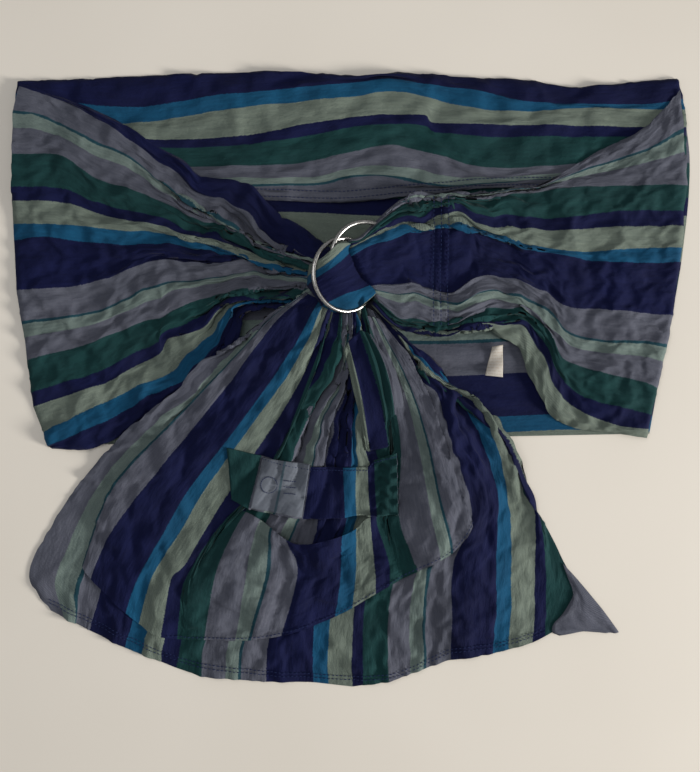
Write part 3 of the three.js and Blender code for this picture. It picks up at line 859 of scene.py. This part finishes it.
# Where the cloth comes up through the rings, over the rear one and down again.
WRAP = [
    (722, [(-46, 124), (-34, 128), (-24, 136), (-15, 145), (-8, 150), (-4, 151)]),
    (700, [(-48, 114), (-35, 120), (-23, 128), (-13, 138), (-5, 146), (0, 148)]),
    (678, [(-49, 102), (-35, 110), (-22, 118), (-11, 127), (-2, 137), (4, 141)]),
    (650, [(-42, 92), (-31, 98), (-15, 106), (-1, 114), (9, 123), (14, 126)]),
    (622, [(-32, 79), (-18, 86), (-4, 92), (8, 96), (19, 101), (25, 104)]),
    (604, [(-17, 70), (-8, 73), (2, 75), (12, 80), (22, 88), (28, 94)]),
]
# The pocket's front, from the rings down past its lower edge.
POCKET = [
    (714, [(-38, 103), (-89, 66), (-119, 35), (-181, -29), (-248, -96), (-276, -136), (-304, -220),
           (-312, -272)]),
    (678, [(-36, 102), (-86, 59), (-136, -7), (-203, -88), (-259, -158), (-288, -214), (-296, -260),
           (-300, -290)]),
    (622, [(-28, 98), (-69, 27), (-125, -52), (-181, -124), (-208, -170), (-236, -220), (-252, -262),
           (-262, -300)]),
    (604, [(-24, 96), (-60, 19), (-109, -50), (-163, -124), (-190, -170), (-222, -222), (-238, -280),
           (-240, -310)]),
    (578, [(-20, 94), (-53, 4), (-114, -91), (-158, -160), (-184, -205), (-201, -225), (-212, -288),
           (-214, -316)]),
    (565, [(-16, 92), (-49, -7), (-100, -113), (-148, -165), (-186, -225), (-192, -260), (-195, -292),
           (-197, -320)]),
    (533, [(-12, 90), (-44, -24), (-86, -110), (-119, -150), (-140, -190), (-152, -226), (-164, -289),
           (-168, -320)]),
    (504, [(-10, 89), (-32, -24), (-66, -110), (-98, -150), (-112, -190), (-118, -226), (-129, -289),
           (-132, -320)]),
    (486, [(-9, 88), (-24, -24), (-52, -110), (-86, -160), (-90, -190), (-93, -220), (-113, -289),
           (-116, -320)]),
    (452, [(-4, 86), (-12, -24), (-36, -110), (-66, -158), (-72, -178), (-60, -214), (-79, -290),
           (-82, -320)]),
    (396, [(2, 84), (0, -24), (-5, -90), (-8, -153), (-11, -190), (-12, -216), (-18, -265),
           (-20, -310)]),
    (378, [(4, 83), (7, -24), (5, -90), (6, -153), (6, -190), (5, -216), (2, -253), (0, -300)]),
    (352, [(8, 82), (15, -24), (18, -90), (21, -153), (24, -190), (26, -216), (27, -237), (28, -290)]),
    (339, [(10, 81), (26, -24), (32, -90), (28, -153), (36, -185), (41, -205), (42, -223), (44, -290)]),
    (307, [(14, 80), (38, -1), (54, -68), (54, -153), (64, -186), (70, -205), (73, -212), (80, -280)]),
    (278, [(18, 78), (54, -4), (72, -66), (86, -139), (92, -170), (97, -190), (98, -198), (106, -260)]),
    (226, [(26, 74), (77, -1), (99, -57), (122, -130), (131, -152), (134, -168), (135, -176),
           (142, -240)]),
]
# The tail's loose corner, beyond the hem.
CORNER = [
    (79, [(236, -206), (250, -221), (267, -241), (284, -262), (299, -283)]),
    (74, [(240, -218), (250, -232), (262, -249), (277, -268), (294, -284)]),
    (68, [(246, -232), (251, -246), (256, -262), (266, -276), (282, -283)]),
    (62, [(248, -240), (245, -256), (243, -268), (248, -278), (258, -282)]),
    (56, [(246, -246), (236, -262), (226, -273), (224, -282), (232, -287)]),
]
# Plan lines that end the pocket, and the line of the tail hem.
POCKET_MOUTH = [(-262, -146), (-170, -147), (-119, -147), (-92, -162), (-62, -182), (-26, -177),
                (2, -168), (24, -152), (80, -150), (134, -152)]
POCKET_EDGE = [(-305, -196), (-296, -216), (-270, -244), (-234, -276), (-205, -289), (-170, -291),
               (-94, -289), (-24, -268), (24, -241), (71, -214), (110, -193), (128, -172), (136, -156)]
HEM_LINE = [(-338, -247), (-304, -263), (-248, -289), (-209, -306), (-170, -318), (-97, -327),
            (-46, -330), (4, -333), (54, -327), (110, -303), (161, -296), (196, -286), (220, -278)]
# The back's stripes: places across the cloth at heights up the plan.
BACK_Y = [-74, -60, -42, 6, 95, 148, 156, 184, 204, 344]
BACK_PLACES = [-82, -74, -56, 0, 81, 146, 150, 126, 113, 0]


# ---------------------------------------------------------------- where the rings and layers stand
def front_top(x, y):
    """How high the front panels lie: heaped up where they gather at the rings."""
    distance = np.hypot(x - HEAP_X, y - HEAP_Y)
    return RAIL_TOP + 2.0 + HEAP_HEIGHT * hump(distance, 0, HEAP_RADIUS)


def ring_plane(x, centre, tilt):
    """Height of a tilted ring's plane at x."""
    return centre.z - (x - centre.x) * math.tan(tilt)


def ring_reach(x, y, centre, tilt):
    """Distance from a tilted ring's centre in plan: 1 on its wire, less inside it."""
    return np.hypot((x - centre.x) / (RING_RADIUS * math.cos(tilt)), (y - centre.y) / RING_RADIUS)


def off_wire(x, y, centre, tilt):
    """Plan distance from a tilted ring's wire, roughly."""
    narrow = RING_RADIUS * math.cos(tilt)
    return np.abs(ring_reach(x, y, centre, tilt) - 1) * (narrow + RING_RADIUS) / 2


def over_rear_ring(sheet, clearance):
    """Height of cloth that lies over the rear ring's wire and falls away beside it."""
    aside = off_wire(sheet.x, sheet.y, REAR_CENTRE, REAR_TILT)
    return ring_plane(sheet.x, REAR_CENTRE, REAR_TILT) + WIRE_RADIUS + clearance - aside**2 / 30


# ---------------------------------------------------------------- the loop's cloth
def back_cloth():
    """The back of the loop, whose inner face shows in the two openings."""
    edges = [
        (0, [(-370, 334), (-378, 206), (-366, 55), (-338, -74)]),
        (700, [(364, 336), (378, 245), (369, 133), (346, 10), (333, -61)]),
    ]
    sheet = Sheet(edges, 110, 150)
    upper_edge = np.interp(sheet.x, *np.array(TOP_STRIP[0][1], float).T) - 4
    sheet.y[:] = np.minimum(sheet.y, upper_edge)
    wavy_y = sheet.y + 3 * np.sin(sheet.x / 55)
    sheet.s = sheet.x.copy()
    sheet.vv = np.interp(wavy_y, BACK_Y, BACK_PLACES) + 3 * REPEAT
    sheet.z += 1.7
    sheet.crease(0.7, along=70, across=25, seed=1)
    sheet.z = np.clip(sheet.z, 1.0, 2.6)
    slack = band(sheet.x, (80, 125), (150, 200)) * band(sheet.y, (-60, -20), (30, 60))
    sheet.z += 3 * slack * (0.6 + fold_noise(sheet.y / 24 + sheet.x / 150, 2, 2))
    sheet.z = np.maximum(sheet.z, 1.0)
    return sheet


def top_strip(pile):
    """The upper rail, folded down over the back's top edge."""
    sheet = Sheet(TOP_STRIP, 230, 64)
    sheet.z += RAIL_TOP + 0.4
    slack = band(sheet.x, (-250, 0), (60, 260))
    sheet.pleat(34, deepest=4.5, lean=0.8, seed=40, where=slack)
    sheet.z += 2.2 * slack * fold_noise(sheet.vv / 40 + sheet.x / 900, 43, 2)
    sheet.crease(4.0, along=60, across=22, seed=41)
    sheet.crease(1.3, along=24, across=9, seed=42)
    sheet.settle(0.03)
    sheet.round_edge(8, 3.5, sides=[0])
    sheet.lie_on(pile, 1.1)
    return sheet


def left_front(pile):
    """The left half of the front, drawn together towards the rings."""
    sheet = Sheet(LEFT_FRONT, 150, 230)
    tight = smoothstep(sheet.t, 0.12, 0.85)
    sheet.z += front_top(sheet.x, sheet.y)
    sheet.pleat(52, deepest=12.0, lean=0.9, seed=5, where=tight)
    sheet.crease(5.5, along=100, across=30, seed=7, where=1 - 0.4 * tight)
    sheet.crease(2.0, along=30, across=13, seed=8)
    squeezed = smoothstep(sheet.x, -320, -130) * (1 - 0.6 * smoothstep(sheet.x, -80, -40))
    sheet.crimp(4.5, 42, seed=9, where=squeezed)
    sheet.settle()
    sheet.round_edge(7, 3)
    sheet.round_start(6, 5)
    sheet.press_down(25, smoothstep(sheet.x, -75, -35))
    sheet.lie_on(pile)
    return sheet


def shoulder_height(sheet):
    """The right front's height: flat on the panel, then rising from the seam to the ring loop."""
    on_panel = smoothstep(sheet.x, SHOULDER_RIGHT, SHOULDER_RIGHT + 60)
    lower = smoothstep(sheet.vv, 500, 590)
    rise = np.clip((SHOULDER_LEFT - sheet.x) / (SHOULDER_LEFT - FRONT_CENTRE.x), 0, 1)
    loop_height = SHOULDER_TOP - 5 + (LOOP_TOP - SHOULDER_TOP + 2) * rise - lower * (4 + 5 * rise)
    return mixed(loop_height, front_top(sheet.x, sheet.y) + 2, on_panel)


def sew_shoulder(sheet):
    """Small pleats round the seam, pressed down along its three rows of stitches."""
    seam_x = 98
    fine_pitch = 11
    fine_turn = sheet.vv / fine_pitch + 0.5 * fold_noise(sheet.vv / 60, 3)
    sheet.z += 1.5 * hump(sheet.x, seam_x, 22) * np.abs(np.cos(math.pi * fine_turn))
    for row in STITCH_ROWS:
        sheet.z -= 1.6 * hump(sheet.x, row, 1.6)


def right_front(pile):
    """The right half of the front, its sewn shoulder, and the loop that holds the rings, in one cloth."""
    sheet = Sheet(RIGHT_FRONT, 210, 210)
    sheet.z += shoulder_height(sheet)
    gathered = 1 - smoothstep(np.abs(sheet.x - 100), 40, 170)
    off_loop = smoothstep(sheet.x, 20, 80)
    sheet.pleat(42, deepest=8.0, lean=0.8, seed=11, where=gathered * (0.45 + 0.55 * off_loop))
    sew_shoulder(sheet)
    calm = 0.25 + 0.75 * smoothstep(sheet.x, 55, 120)
    sheet.crease(5.0, along=80, across=28, seed=12, where=calm)
    sheet.crease(2.0, along=28, across=14, seed=13)
    sheet.crimp(4.0, 38, seed=14, where=gathered * smoothstep(sheet.x, 30, 80))
    sheet.settle()
    sheet.round_edge(5, 3, sides=[0])
    sheet.round_edge(6, 3, sides=[1])
    sheet.round_start(6, 5)
    sheet.lie_on(pile)
    near_rear = off_wire(sheet.x, sheet.y, REAR_CENTRE, REAR_TILT) < 9
    covers = (sheet.x > 26) & (sheet.y < 166) & near_rear
    sheet.z = np.where(covers, np.maximum(sheet.z, over_rear_ring(sheet, 2)), sheet.z)
    sheet.turn_under(LOOP_LOW + 2.5, 8, 26)
    return sheet


def wrap():
    """The cloth that is seen inside the front ring, lying over the rear ring's wire."""
    sheet = Sheet(WRAP, 72, 72)
    plane = ring_plane(sheet.x, FRONT_CENTRE, FRONT_TILT)
    reach = ring_reach(sheet.x, sheet.y, FRONT_CENTRE, FRONT_TILT)
    dome = plane - 5 + 16 * np.clip(1 - reach**2, -0.6, 1)
    ridge = over_rear_ring(sheet, 2.4)
    softness = 2.0
    sheet.z = softness * np.log(np.exp(dome / softness) + np.exp(ridge / softness))
    sheet.crease(1.0, along=30, across=14, seed=81)
    below_wire = plane - WIRE_RADIUS - 1.6
    cap = below_wire + 2.8 * off_wire(sheet.x, sheet.y, FRONT_CENTRE, FRONT_TILT)
    under_wire = np.minimum(sheet.z, np.where(reach < 1, cap, below_wire))
    over_wire = np.maximum(sheet.z, plane + WIRE_RADIUS + 2)
    sheet.z = mixed(under_wire, over_wire, smoothstep(sheet.x, 7, 14))
    sheet.press_down(24, smoothstep(reach, 1.0, 1.35) * (sheet.x < 0))
    sheet.turn_under(9, 6, 0)
    folded_at = 650
    sheet.vv = folded_at - np.abs(sheet.vv - folded_at)
    return sheet


# ---------------------------------------------------------------- the tail and its pocket
def tail(pile):
    """The free end, from under the rings down over the loop and out on the floor."""
    sheet = Sheet(TAIL, 190, 260)
    loose = smoothstep(sheet.t, 0.05, 0.8)
    at_ring = np.clip(22 - 0.42 * (sheet.x + 7), 6, 25)
    near_ring = 1 - smoothstep(sheet.t, 0.0, 0.2)
    lying = 1.6 + smoothstep(sheet.y, -125, -70) * (front_top(sheet.x, sheet.y) + 1.5)
    sheet.z += mixed(lying, at_ring, near_ring)
    calm = 1 - 0.75 * smoothstep(sheet.x, 0, 40) * near_ring
    sheet.pleat(50, deepest=12.0, lean=0.9, seed=21, where=(1 - 0.55 * loose) * calm)
    sheet.crease(5.5, along=100, across=34, seed=22, where=calm)
    swell = hump(sheet.x, 118, 50) * (1 - smoothstep(sheet.y, -70, -10))
    sheet.z += 15 * swell * smoothstep(sheet.y, -330, -220)
    sheet.crease(1.9, along=30, across=15, seed=23)
    sheet.crimp(3.5, 36, seed=24, where=band(sheet.t, (0.03, 0.15), (0.35, 0.6)))
    sheet.settle()
    to_hem = sheet.s[-1, 0] * (1 - sheet.t)
    sheet.z += CLOTH_MM * (1 - smoothstep(to_hem, HEM_DEPTH - 1, HEM_DEPTH + 1))
    sheet.round_edge(6, 2)
    tuck_right_edge(sheet)
    sheet.press_down(22, smoothstep(sheet.y, 70, 84))
    sheet.lie_on(pile, 1.5)
    return sheet


def tuck_right_edge(sheet):
    """Turns the tail's right edge under where it lies on the loop."""
    on_loop = smoothstep(sheet.y, -150, -112)
    turned_under = (1 - smoothstep(sheet.vv, 90, 126)) * on_loop
    beside = hump(sheet.vv, 142, 18) * on_loop
    sheet.z += 3 * beside - 7 * turned_under


def roll(pile):
    """A flat roll of slack cloth that lies on the tail under the rings."""
    sheet = Sheet(ROLL, 70, 60)
    distance = (sheet.vv - sheet.v.mean()) / (sheet.v[0] - sheet.v[-1])
    sheet.z += front_top(sheet.x, sheet.y) + 14 + 8 * (1 - (2 * distance) ** 2)
    sheet.pleat(34, deepest=6, lean=0.8, seed=51)
    sheet.crease(1.2, along=30, across=12, seed=52)
    sheet.z -= 9 * (1 - smoothstep(sheet.t, 0.0, 0.22)) + 15 * smoothstep(sheet.t, 0.62, 0.95)
    sheet.round_edge(5, 3)
    sheet.lie_on(pile, 1.3)
    return sheet


def crossing(path, line):
    """How far down a path it first passes below a line that runs from left to right."""
    height = np.interp(path[:, 0], *np.array(line, float).T)
    passed = np.nonzero(path[:, 1] < height)[0]
    if len(passed) == 0:
        return len(path) - 1.0
    k = max(passed[0], 1)
    a = path[k - 1, 1] - height[k - 1]
    b = height[k] - path[k, 1]
    return k - 1 + a / max(a + b, 1e-6)


def trimmed(sheet, upper_line, lower_line, rows):
    """Keeps the sheet between two lines; beside the mouth its columns keep their upper ends."""
    plan = np.empty((rows + 1, len(sheet.v), 2))
    along = np.empty((rows + 1, len(sheet.v)))
    steps = np.arange(len(sheet.x))
    for j, place in enumerate(sheet.v):
        path = sheet.plan[:, j]
        upper_end = 0.03 * (len(path) - 1)
        first = mixed(upper_end, crossing(path, upper_line), band(place, MOUTH_BEGINS, MOUTH_ENDS))
        last = max(crossing(path, lower_line), first + 0.5)
        at = np.linspace(first, last, rows + 1)
        plan[:, j] = np.stack([np.interp(at, steps, path[:, k]) for k in (0, 1)], axis=1)
        along[:, j] = np.interp(at, steps, sheet.s[:, j])
    sheet.take(plan)
    sheet.number_rows()
    sheet.s = along
    return sheet


def pocket(pile):
    """The pocket's front: a second layer over the tail, its stripes nearly lined up with the tail's.

    Both its sides run up to the rings; between them its upper edge is the pocket's mouth."""
    mouth = smooth_path(POCKET_MOUTH, 80)
    edge = smooth_path(POCKET_EDGE, 80)
    sheet = trimmed(Sheet(POCKET, 300, 220), mouth, edge, rows=150)
    lies_on = pile.under(sheet.x, sheet.y)
    left, right = POCKET[0][0], POCKET[-1][0]
    side = np.clip((sheet.vv - right) / (left - right), 0, 1)
    belly = np.sin(math.pi * side) ** 0.7 * np.cos(math.pi / 2 * sheet.t**4)
    belly = belly * (1 - smoothstep(sheet.y, -175, -120))
    gaping = hump(sheet.x, -45, 62) * (1 - smoothstep(sheet.t, 0.0, 0.35))
    inside = MOUTH_BEGINS[1]
    gaping = gaping * smoothstep(sheet.vv, inside, inside + 20) * (sheet.vv < MOUTH_ENDS[0])
    sheet.z = lies_on + 1.2 + 3.5 * belly + 10.0 * gaping
    sheet.crease(1.6, along=60, across=24, seed=61)
    sheet.crease(1.1, along=20, across=16, seed=62)
    sheet.settle(0.03)
    sheet.z = np.maximum(sheet.z, lies_on + 1.0)
    sheet.lie_on(pile, 1.0)
    sheet.round_edge(4, 0.5, sides=[0])
    return sheet


def flap(pile):
    """The flap over the pocket's mouth, puckered at its green end."""
    sheet = Sheet(FLAP, 46, 110)
    lifted = 8.0 * sheet.t**2 * hump(sheet.x, -30, 70)
    sheet.z = pile.under(sheet.x, sheet.y) + 1.2 + lifted
    zigzag = sheet.y + 9 * np.abs(((sheet.x / 11) % 2) - 1)
    puckers = 3.2 * (1 + np.cos(2 * math.pi * zigzag / 15))
    sheet.z += smoothstep(sheet.x, 22, 30) * puckers
    sheet.crease(0.9, along=34, across=18, seed=71)
    sheet.round_edge(3, 1.2)
    sheet.lie_on(pile, 1.0)
    return sheet


def patch(pile):
    """A plain patch sewn flat on the flap."""
    sides = [
        (0, [(-98, -87), (-46, -94)]),
        (56, [(-112, -143), (-55, -153)]),
    ]
    sheet = Sheet(sides, 40, 40)
    sheet.z = pile.under(sheet.x, sheet.y) + 0.5
    sheet.round_edge(1.5, 0.3)
    return sheet


def patch_mark():
    """Lines of the patch's generic mark: a ring of stitches and three short bars."""
    x, y = -91, -117
    circle = [(x + 9 * math.cos(a), y + 9 * math.sin(a)) for a in np.linspace(0, 2 * math.pi, 17)]
    bars = [[(-75, -112 - 7 * i), (-60, -113.5 - 7 * i)] for i in range(3)]
    return [circle, *bars]


def corner(pile):
    """The end hem's last corner, turned over so that its grey side shows."""
    sheet = Sheet(CORNER, 50, 22)
    inner, outer = CORNER[-1][0], CORNER[0][0]
    across = (sheet.vv - inner) / (outer - inner)
    sheet.z += 3.0 + 3.0 * np.sin(sheet.t * math.pi) * np.sin(math.pi * across)
    sheet.z -= 1.8 * hump(sheet.vv, 72, 1.5)
    sheet.crease(2.4, along=22, across=9, seed=91)
    sheet.z = np.maximum(sheet.z, 1.2)
    sheet.round_edge(4, 1.0)
    sheet.lie_on(pile, 1.1)
    return sheet


def label():
    """A printed tape sewn to the edge of the opening by its right end."""
    low, high = [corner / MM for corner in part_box("care_label")]
    sides = [
        (0, [(low.x + 9, high.y - 7), (high.x, high.y - 5)]),
        (42, [(low.x + 1, low.y + 3), (high.x, low.y + 1)]),
    ]
    sheet = Sheet(sides, 16, 30)
    sheet.z += 7.0 + 1.6 * np.sin(sheet.t * 3) + 0.9 * np.sin(sheet.vv / 5 + sheet.s / 6)
    return sheet


# ---------------------------------------------------------------- threads and rings
def tube_faces(first, rings, sides, closed=False):
    """Faces between rings of vertices that follow each other, and from the last to the first if closed."""
    faces = []
    for k in range(rings if closed else rings - 1):
        here = first + k * sides
        there = first + (k + 1) % rings * sides
        for m in range(sides):
            n = (m + 1) % sides
            faces.append((here + m, here + n, there + n, there + m))
    return faces


def tubes(name, runs, material):
    """One mesh of round threads, one for each run of 3-D points; each thins towards its ends."""
    sides = 6
    vertices = []
    faces = []
    for run in runs:
        heading = np.gradient(run, axis=0)
        heading /= np.maximum(np.linalg.norm(heading, axis=1), 1e-9)[:, None]
        side = np.cross(heading, (0, 0, 1.0))
        side /= np.maximum(np.linalg.norm(side, axis=1), 1e-9)[:, None]
        up = np.cross(side, heading)
        first = len(vertices)
        last = len(run) - 1
        for k, point in enumerate(run):
            radius = THREAD_RADIUS * (0.55 if k in (0, last) else 1.0)
            for m in range(sides):
                angle = 2 * math.pi * m / sides
                outward = math.cos(angle) * side[k] + math.sin(angle) * up[k]
                vertices.append(tuple((point + radius * outward) * MM))
        faces += tube_faces(first, len(run), sides)
        faces.append(tuple(first + m for m in range(sides))[::-1])
        faces.append(tuple(first + last * sides + m for m in range(sides)))
    return mesh_object(name, vertices, faces, material)


def stitch_runs(line, pile, length=3.0, gap=1.6, lift=0.35):
    """Short runs along a plan line, on top of the pile."""
    fine = smooth_path(line, 1200)
    along = travelled(fine)
    runs = []
    start = 0.0
    while start + length < along[-1]:
        at = start + length * np.array([0, 0.25, 0.5, 0.75, 1])
        x = np.interp(at, along, fine[:, 0])
        y = np.interp(at, along, fine[:, 1])
        z = pile.under(x, y).mean() + lift + np.array([-0.5, 0, 0.1, 0, -0.5])
        runs.append(np.stack([x, y, z], axis=1))
        start += length + gap
    return runs


def ring(name, centre, tilt):
    """A wire ring with a small weld, turned by tilt round the y axis."""
    around = 96
    section = 16
    turn = Matrix.Rotation(tilt, 3, "Y")
    vertices = []
    for i in range(around):
        a = 2 * math.pi * i / around
        wire = WIRE_RADIUS + 0.2 * math.exp(-(((a - 0.4) / 0.05) ** 2))
        for j in range(section):
            b = 2 * math.pi * j / section
            r = RING_RADIUS + wire * math.cos(b)
            point = Vector((r * math.cos(a), r * math.sin(a), wire * math.sin(b)))
            vertices.append((turn @ point + centre) * MM)
    faces = [face[::-1] for face in tube_faces(0, around, section, closed=True)]
    return mesh_object(name, vertices, faces, METAL)


# ---------------------------------------------------------------- camera, light, floor
def camera():
    data = bpy.data.cameras.new("camera")
    height = 1.15
    width_seen = 0.784
    tall_to_wide = 772 / 700
    data.sensor_fit = "VERTICAL"
    data.sensor_height = 24
    data.lens = data.sensor_height * height / (width_seen * tall_to_wide)
    obj = bpy.data.objects.new("camera", data)
    obj.location = (-0.0017, -0.0078, height)
    bpy.context.scene.collection.objects.link(obj)
    bpy.context.scene.camera = obj


def area_light(name, location, size, energy, colour):
    """A round light that faces the origin."""
    data = bpy.data.lights.new(name, "AREA")
    data.shape = "DISK"
    data.size = size
    data.energy = energy
    data.color = colour
    obj = bpy.data.objects.new(name, data)
    obj.location = location
    obj.rotation_euler = (-Vector(location)).to_track_quat("-Z", "Y").to_euler()
    bpy.context.scene.collection.objects.link(obj)


def floor():
    half = 3.0
    square = [(-half, -half, 0), (half, -half, 0), (half, half, 0), (-half, half, 0)]
    obj = mesh_object("floor", square, [(0, 1, 2, 3)], floor_material())
    obj.location.z = -0.0002


def world():
    made = bpy.data.worlds.new("world")
    made.use_nodes = True
    background = made.node_tree.nodes["Background"]
    background.inputs["Color"].default_value = (0.93, 0.95, 1.0, 1)
    background.inputs["Strength"].default_value = 0.30
    bpy.context.scene.world = made


camera()
floor()
world()
area_light("window", location=(3.6, -1.2, 1.3), size=1.1, energy=225, colour=(1.0, 0.975, 0.94))
area_light("room", location=(-0.35, 0.3, 1.7), size=1.3, energy=9.5, colour=(0.98, 0.98, 0.99))
bpy.context.scene.view_settings.view_transform = "Standard"

# ---------------------------------------------------------------- the layers, from the floor upwards
back = back_cloth()
pile = Pile().add(back)
strip = top_strip(pile)
pile.add(strip)
left = left_front(pile)
left_pile = Pile(pile).add(left)
right = right_front(pile)
right_pile = Pile(pile).add(right)
tail_sheet = tail(left_pile)
tail_pile = Pile(left_pile).add(tail_sheet)
roll_sheet = roll(tail_pile)
corner_sheet = corner(tail_pile)
pocket_sheet = pocket(tail_pile)
pocket_pile = Pile(tail_pile).add(pocket_sheet)
flap_sheet = flap(pocket_pile)
flap_pile = Pile(pocket_pile).add(flap_sheet)
patch_sheet = patch(flap_pile)
patch_pile = Pile(flap_pile).add(patch_sheet)


# ---------------------------------------------------------------- the pieces, and the nodes they stand for
def dressed(obj, slot, *nodes):
    if nodes:
        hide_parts(*nodes)
    return obj


def threads(name, lines, pile_below, *nodes, **stitch):
    """Stitches along plan lines, as one piece."""
    runs = [run for line in lines for run in stitch_runs(line, pile_below, **stitch)]
    return dressed(tubes(name, runs, THREAD), "blue_thread", *nodes)


back_obj = dressed(cloth_object("back_cloth", back), "navy_cloth", "back_panel")
strip_obj = dressed(cloth_object("top_rail_cloth", strip), "sage_cloth", "top_rail_fold", "top_rail_hem")
left_panel = cloth_object("left_front_cloth", left, left_of(GATHER_X))
left_obj = dressed(left_panel, "green_cloth", "left_front_panel")
left_end = cloth_object("left_gather_cloth", left, right_of(GATHER_X))
left_gather_obj = dressed(left_end, "green_cloth", "left_gathers")
right_panel = cloth_object("right_front_cloth", right, right_of(LOOP_X))
right_obj = dressed(right_panel, "navy_cloth", "right_front_panel", "lower_rail", "shoulder_pleats")
loop_obj = dressed(cloth_object("ring_loop_cloth", right, left_of(LOOP_X)), "navy_cloth", "ring_loop")
tail_start = cloth_object("tail_gather_cloth", tail_sheet, above(GATHER_Y))
tail_gather_obj = dressed(tail_start, "navy_cloth", "tail_gathers")
tail_rest = cloth_object("tail_cloth", tail_sheet, below(GATHER_Y))
tail_obj = dressed(tail_rest, "navy_cloth", "tail_panel", "tail_hem")
roll_obj = dressed(cloth_object("tail_roll_cloth", roll_sheet), "sage_cloth", "tail_roll")
pocket_sides = cloth_object("pocket_sides_cloth", pocket_sheet, above(GATHER_Y))
pocket_sides_obj = dressed(pocket_sides, "navy_cloth", "tail_gathers")
pocket_front = cloth_object("pocket_cloth", pocket_sheet, below(GATHER_Y))
pocket_obj = dressed(pocket_front, "green_cloth", "pocket_bag", "pocket_hem")
flap_obj = dressed(cloth_object("flap_cloth", flap_sheet), "green_cloth", "pocket_flap")
wrap_obj = dressed(cloth_object("wrap_cloth", wrap()), "navy_cloth", "ring_wrap")
label_obj = dressed(tape_object("care_tape", label(), TAPE), "label_tape", "care_label")
patch_obj = dressed(tape_object("patch_tape", patch_sheet, PATCH), "patch_cloth", "flap_patch")
corner_obj = dressed(cloth_object("tail_corner_cloth", corner_sheet), "grey_cloth", "tail_corner")
front_obj = dressed(ring("front_ring_wire", FRONT_CENTRE, FRONT_TILT), "ring_metal", "front_ring")
rear_obj = dressed(ring("rear_ring_wire", REAR_CENTRE, REAR_TILT), "ring_metal", "rear_ring")

shoulder_rows = []
for i, x in enumerate(STITCH_ROWS, 1):
    row = [(x, 200), (x + 0.6, 150), (x - 0.6, 100), (x, 56)]
    shoulder_rows.append(threads(f"shoulder_stitches_{i}", [row], right_pile, f"shoulder_stitching_{i}"))
strip_edge = TOP_STRIP[-1][1][1:-1]
strip_hem = [shifted(strip_edge, 0, 3), shifted(strip_edge, 0, 11)]
rail_stitches = threads("top_hem_stitches", strip_hem, pile)
tail_hem = [shifted(HEM_LINE, 0, -3), shifted(HEM_LINE, 0, 1)]
hem_stitches = threads("tail_hem_stitches", tail_hem, tail_pile)
pocket_side = shifted(POCKET_EDGE[4:], -1, 3)
pocket_stitches = threads("pocket_stitches", [pocket_side], pocket_pile, "pocket_seam")
flap_top = shifted([points[0] for _, points in FLAP[1:]], 0, -3)
flap_stitches = threads("flap_stitches", [flap_top], flap_pile, length=2.2, gap=1.2)
mark = threads("patch_mark", patch_mark(), patch_pile, length=1.8, gap=0.5, lift=0.3)

# ---------------------------------------------------------------- what each piece moves with
for obj, body in [
    (back_obj, "back_loop"),
    (strip_obj, "back_loop"),
    (rail_stitches, "back_loop"),
    (label_obj, "label"),
    (corner_obj, "tail"),
    (hem_stitches, "tail"),
    (pocket_stitches, "tail"),
    (front_obj, "front_ring"),
    (rear_obj, "rear_ring"),
    *[(row, "shoulder") for row in shoulder_rows],
]:
    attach(obj, body)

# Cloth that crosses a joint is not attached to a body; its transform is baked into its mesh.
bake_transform(left_obj)
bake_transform(left_gather_obj)
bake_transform(right_obj)
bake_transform(loop_obj)
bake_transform(wrap_obj)
for obj in (tail_gather_obj, pocket_sides_obj):
    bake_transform(obj)
for obj in (flap_obj, patch_obj, flap_stitches, mark):
    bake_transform(obj)
for obj in (tail_obj, pocket_obj, roll_obj):
    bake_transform(obj)
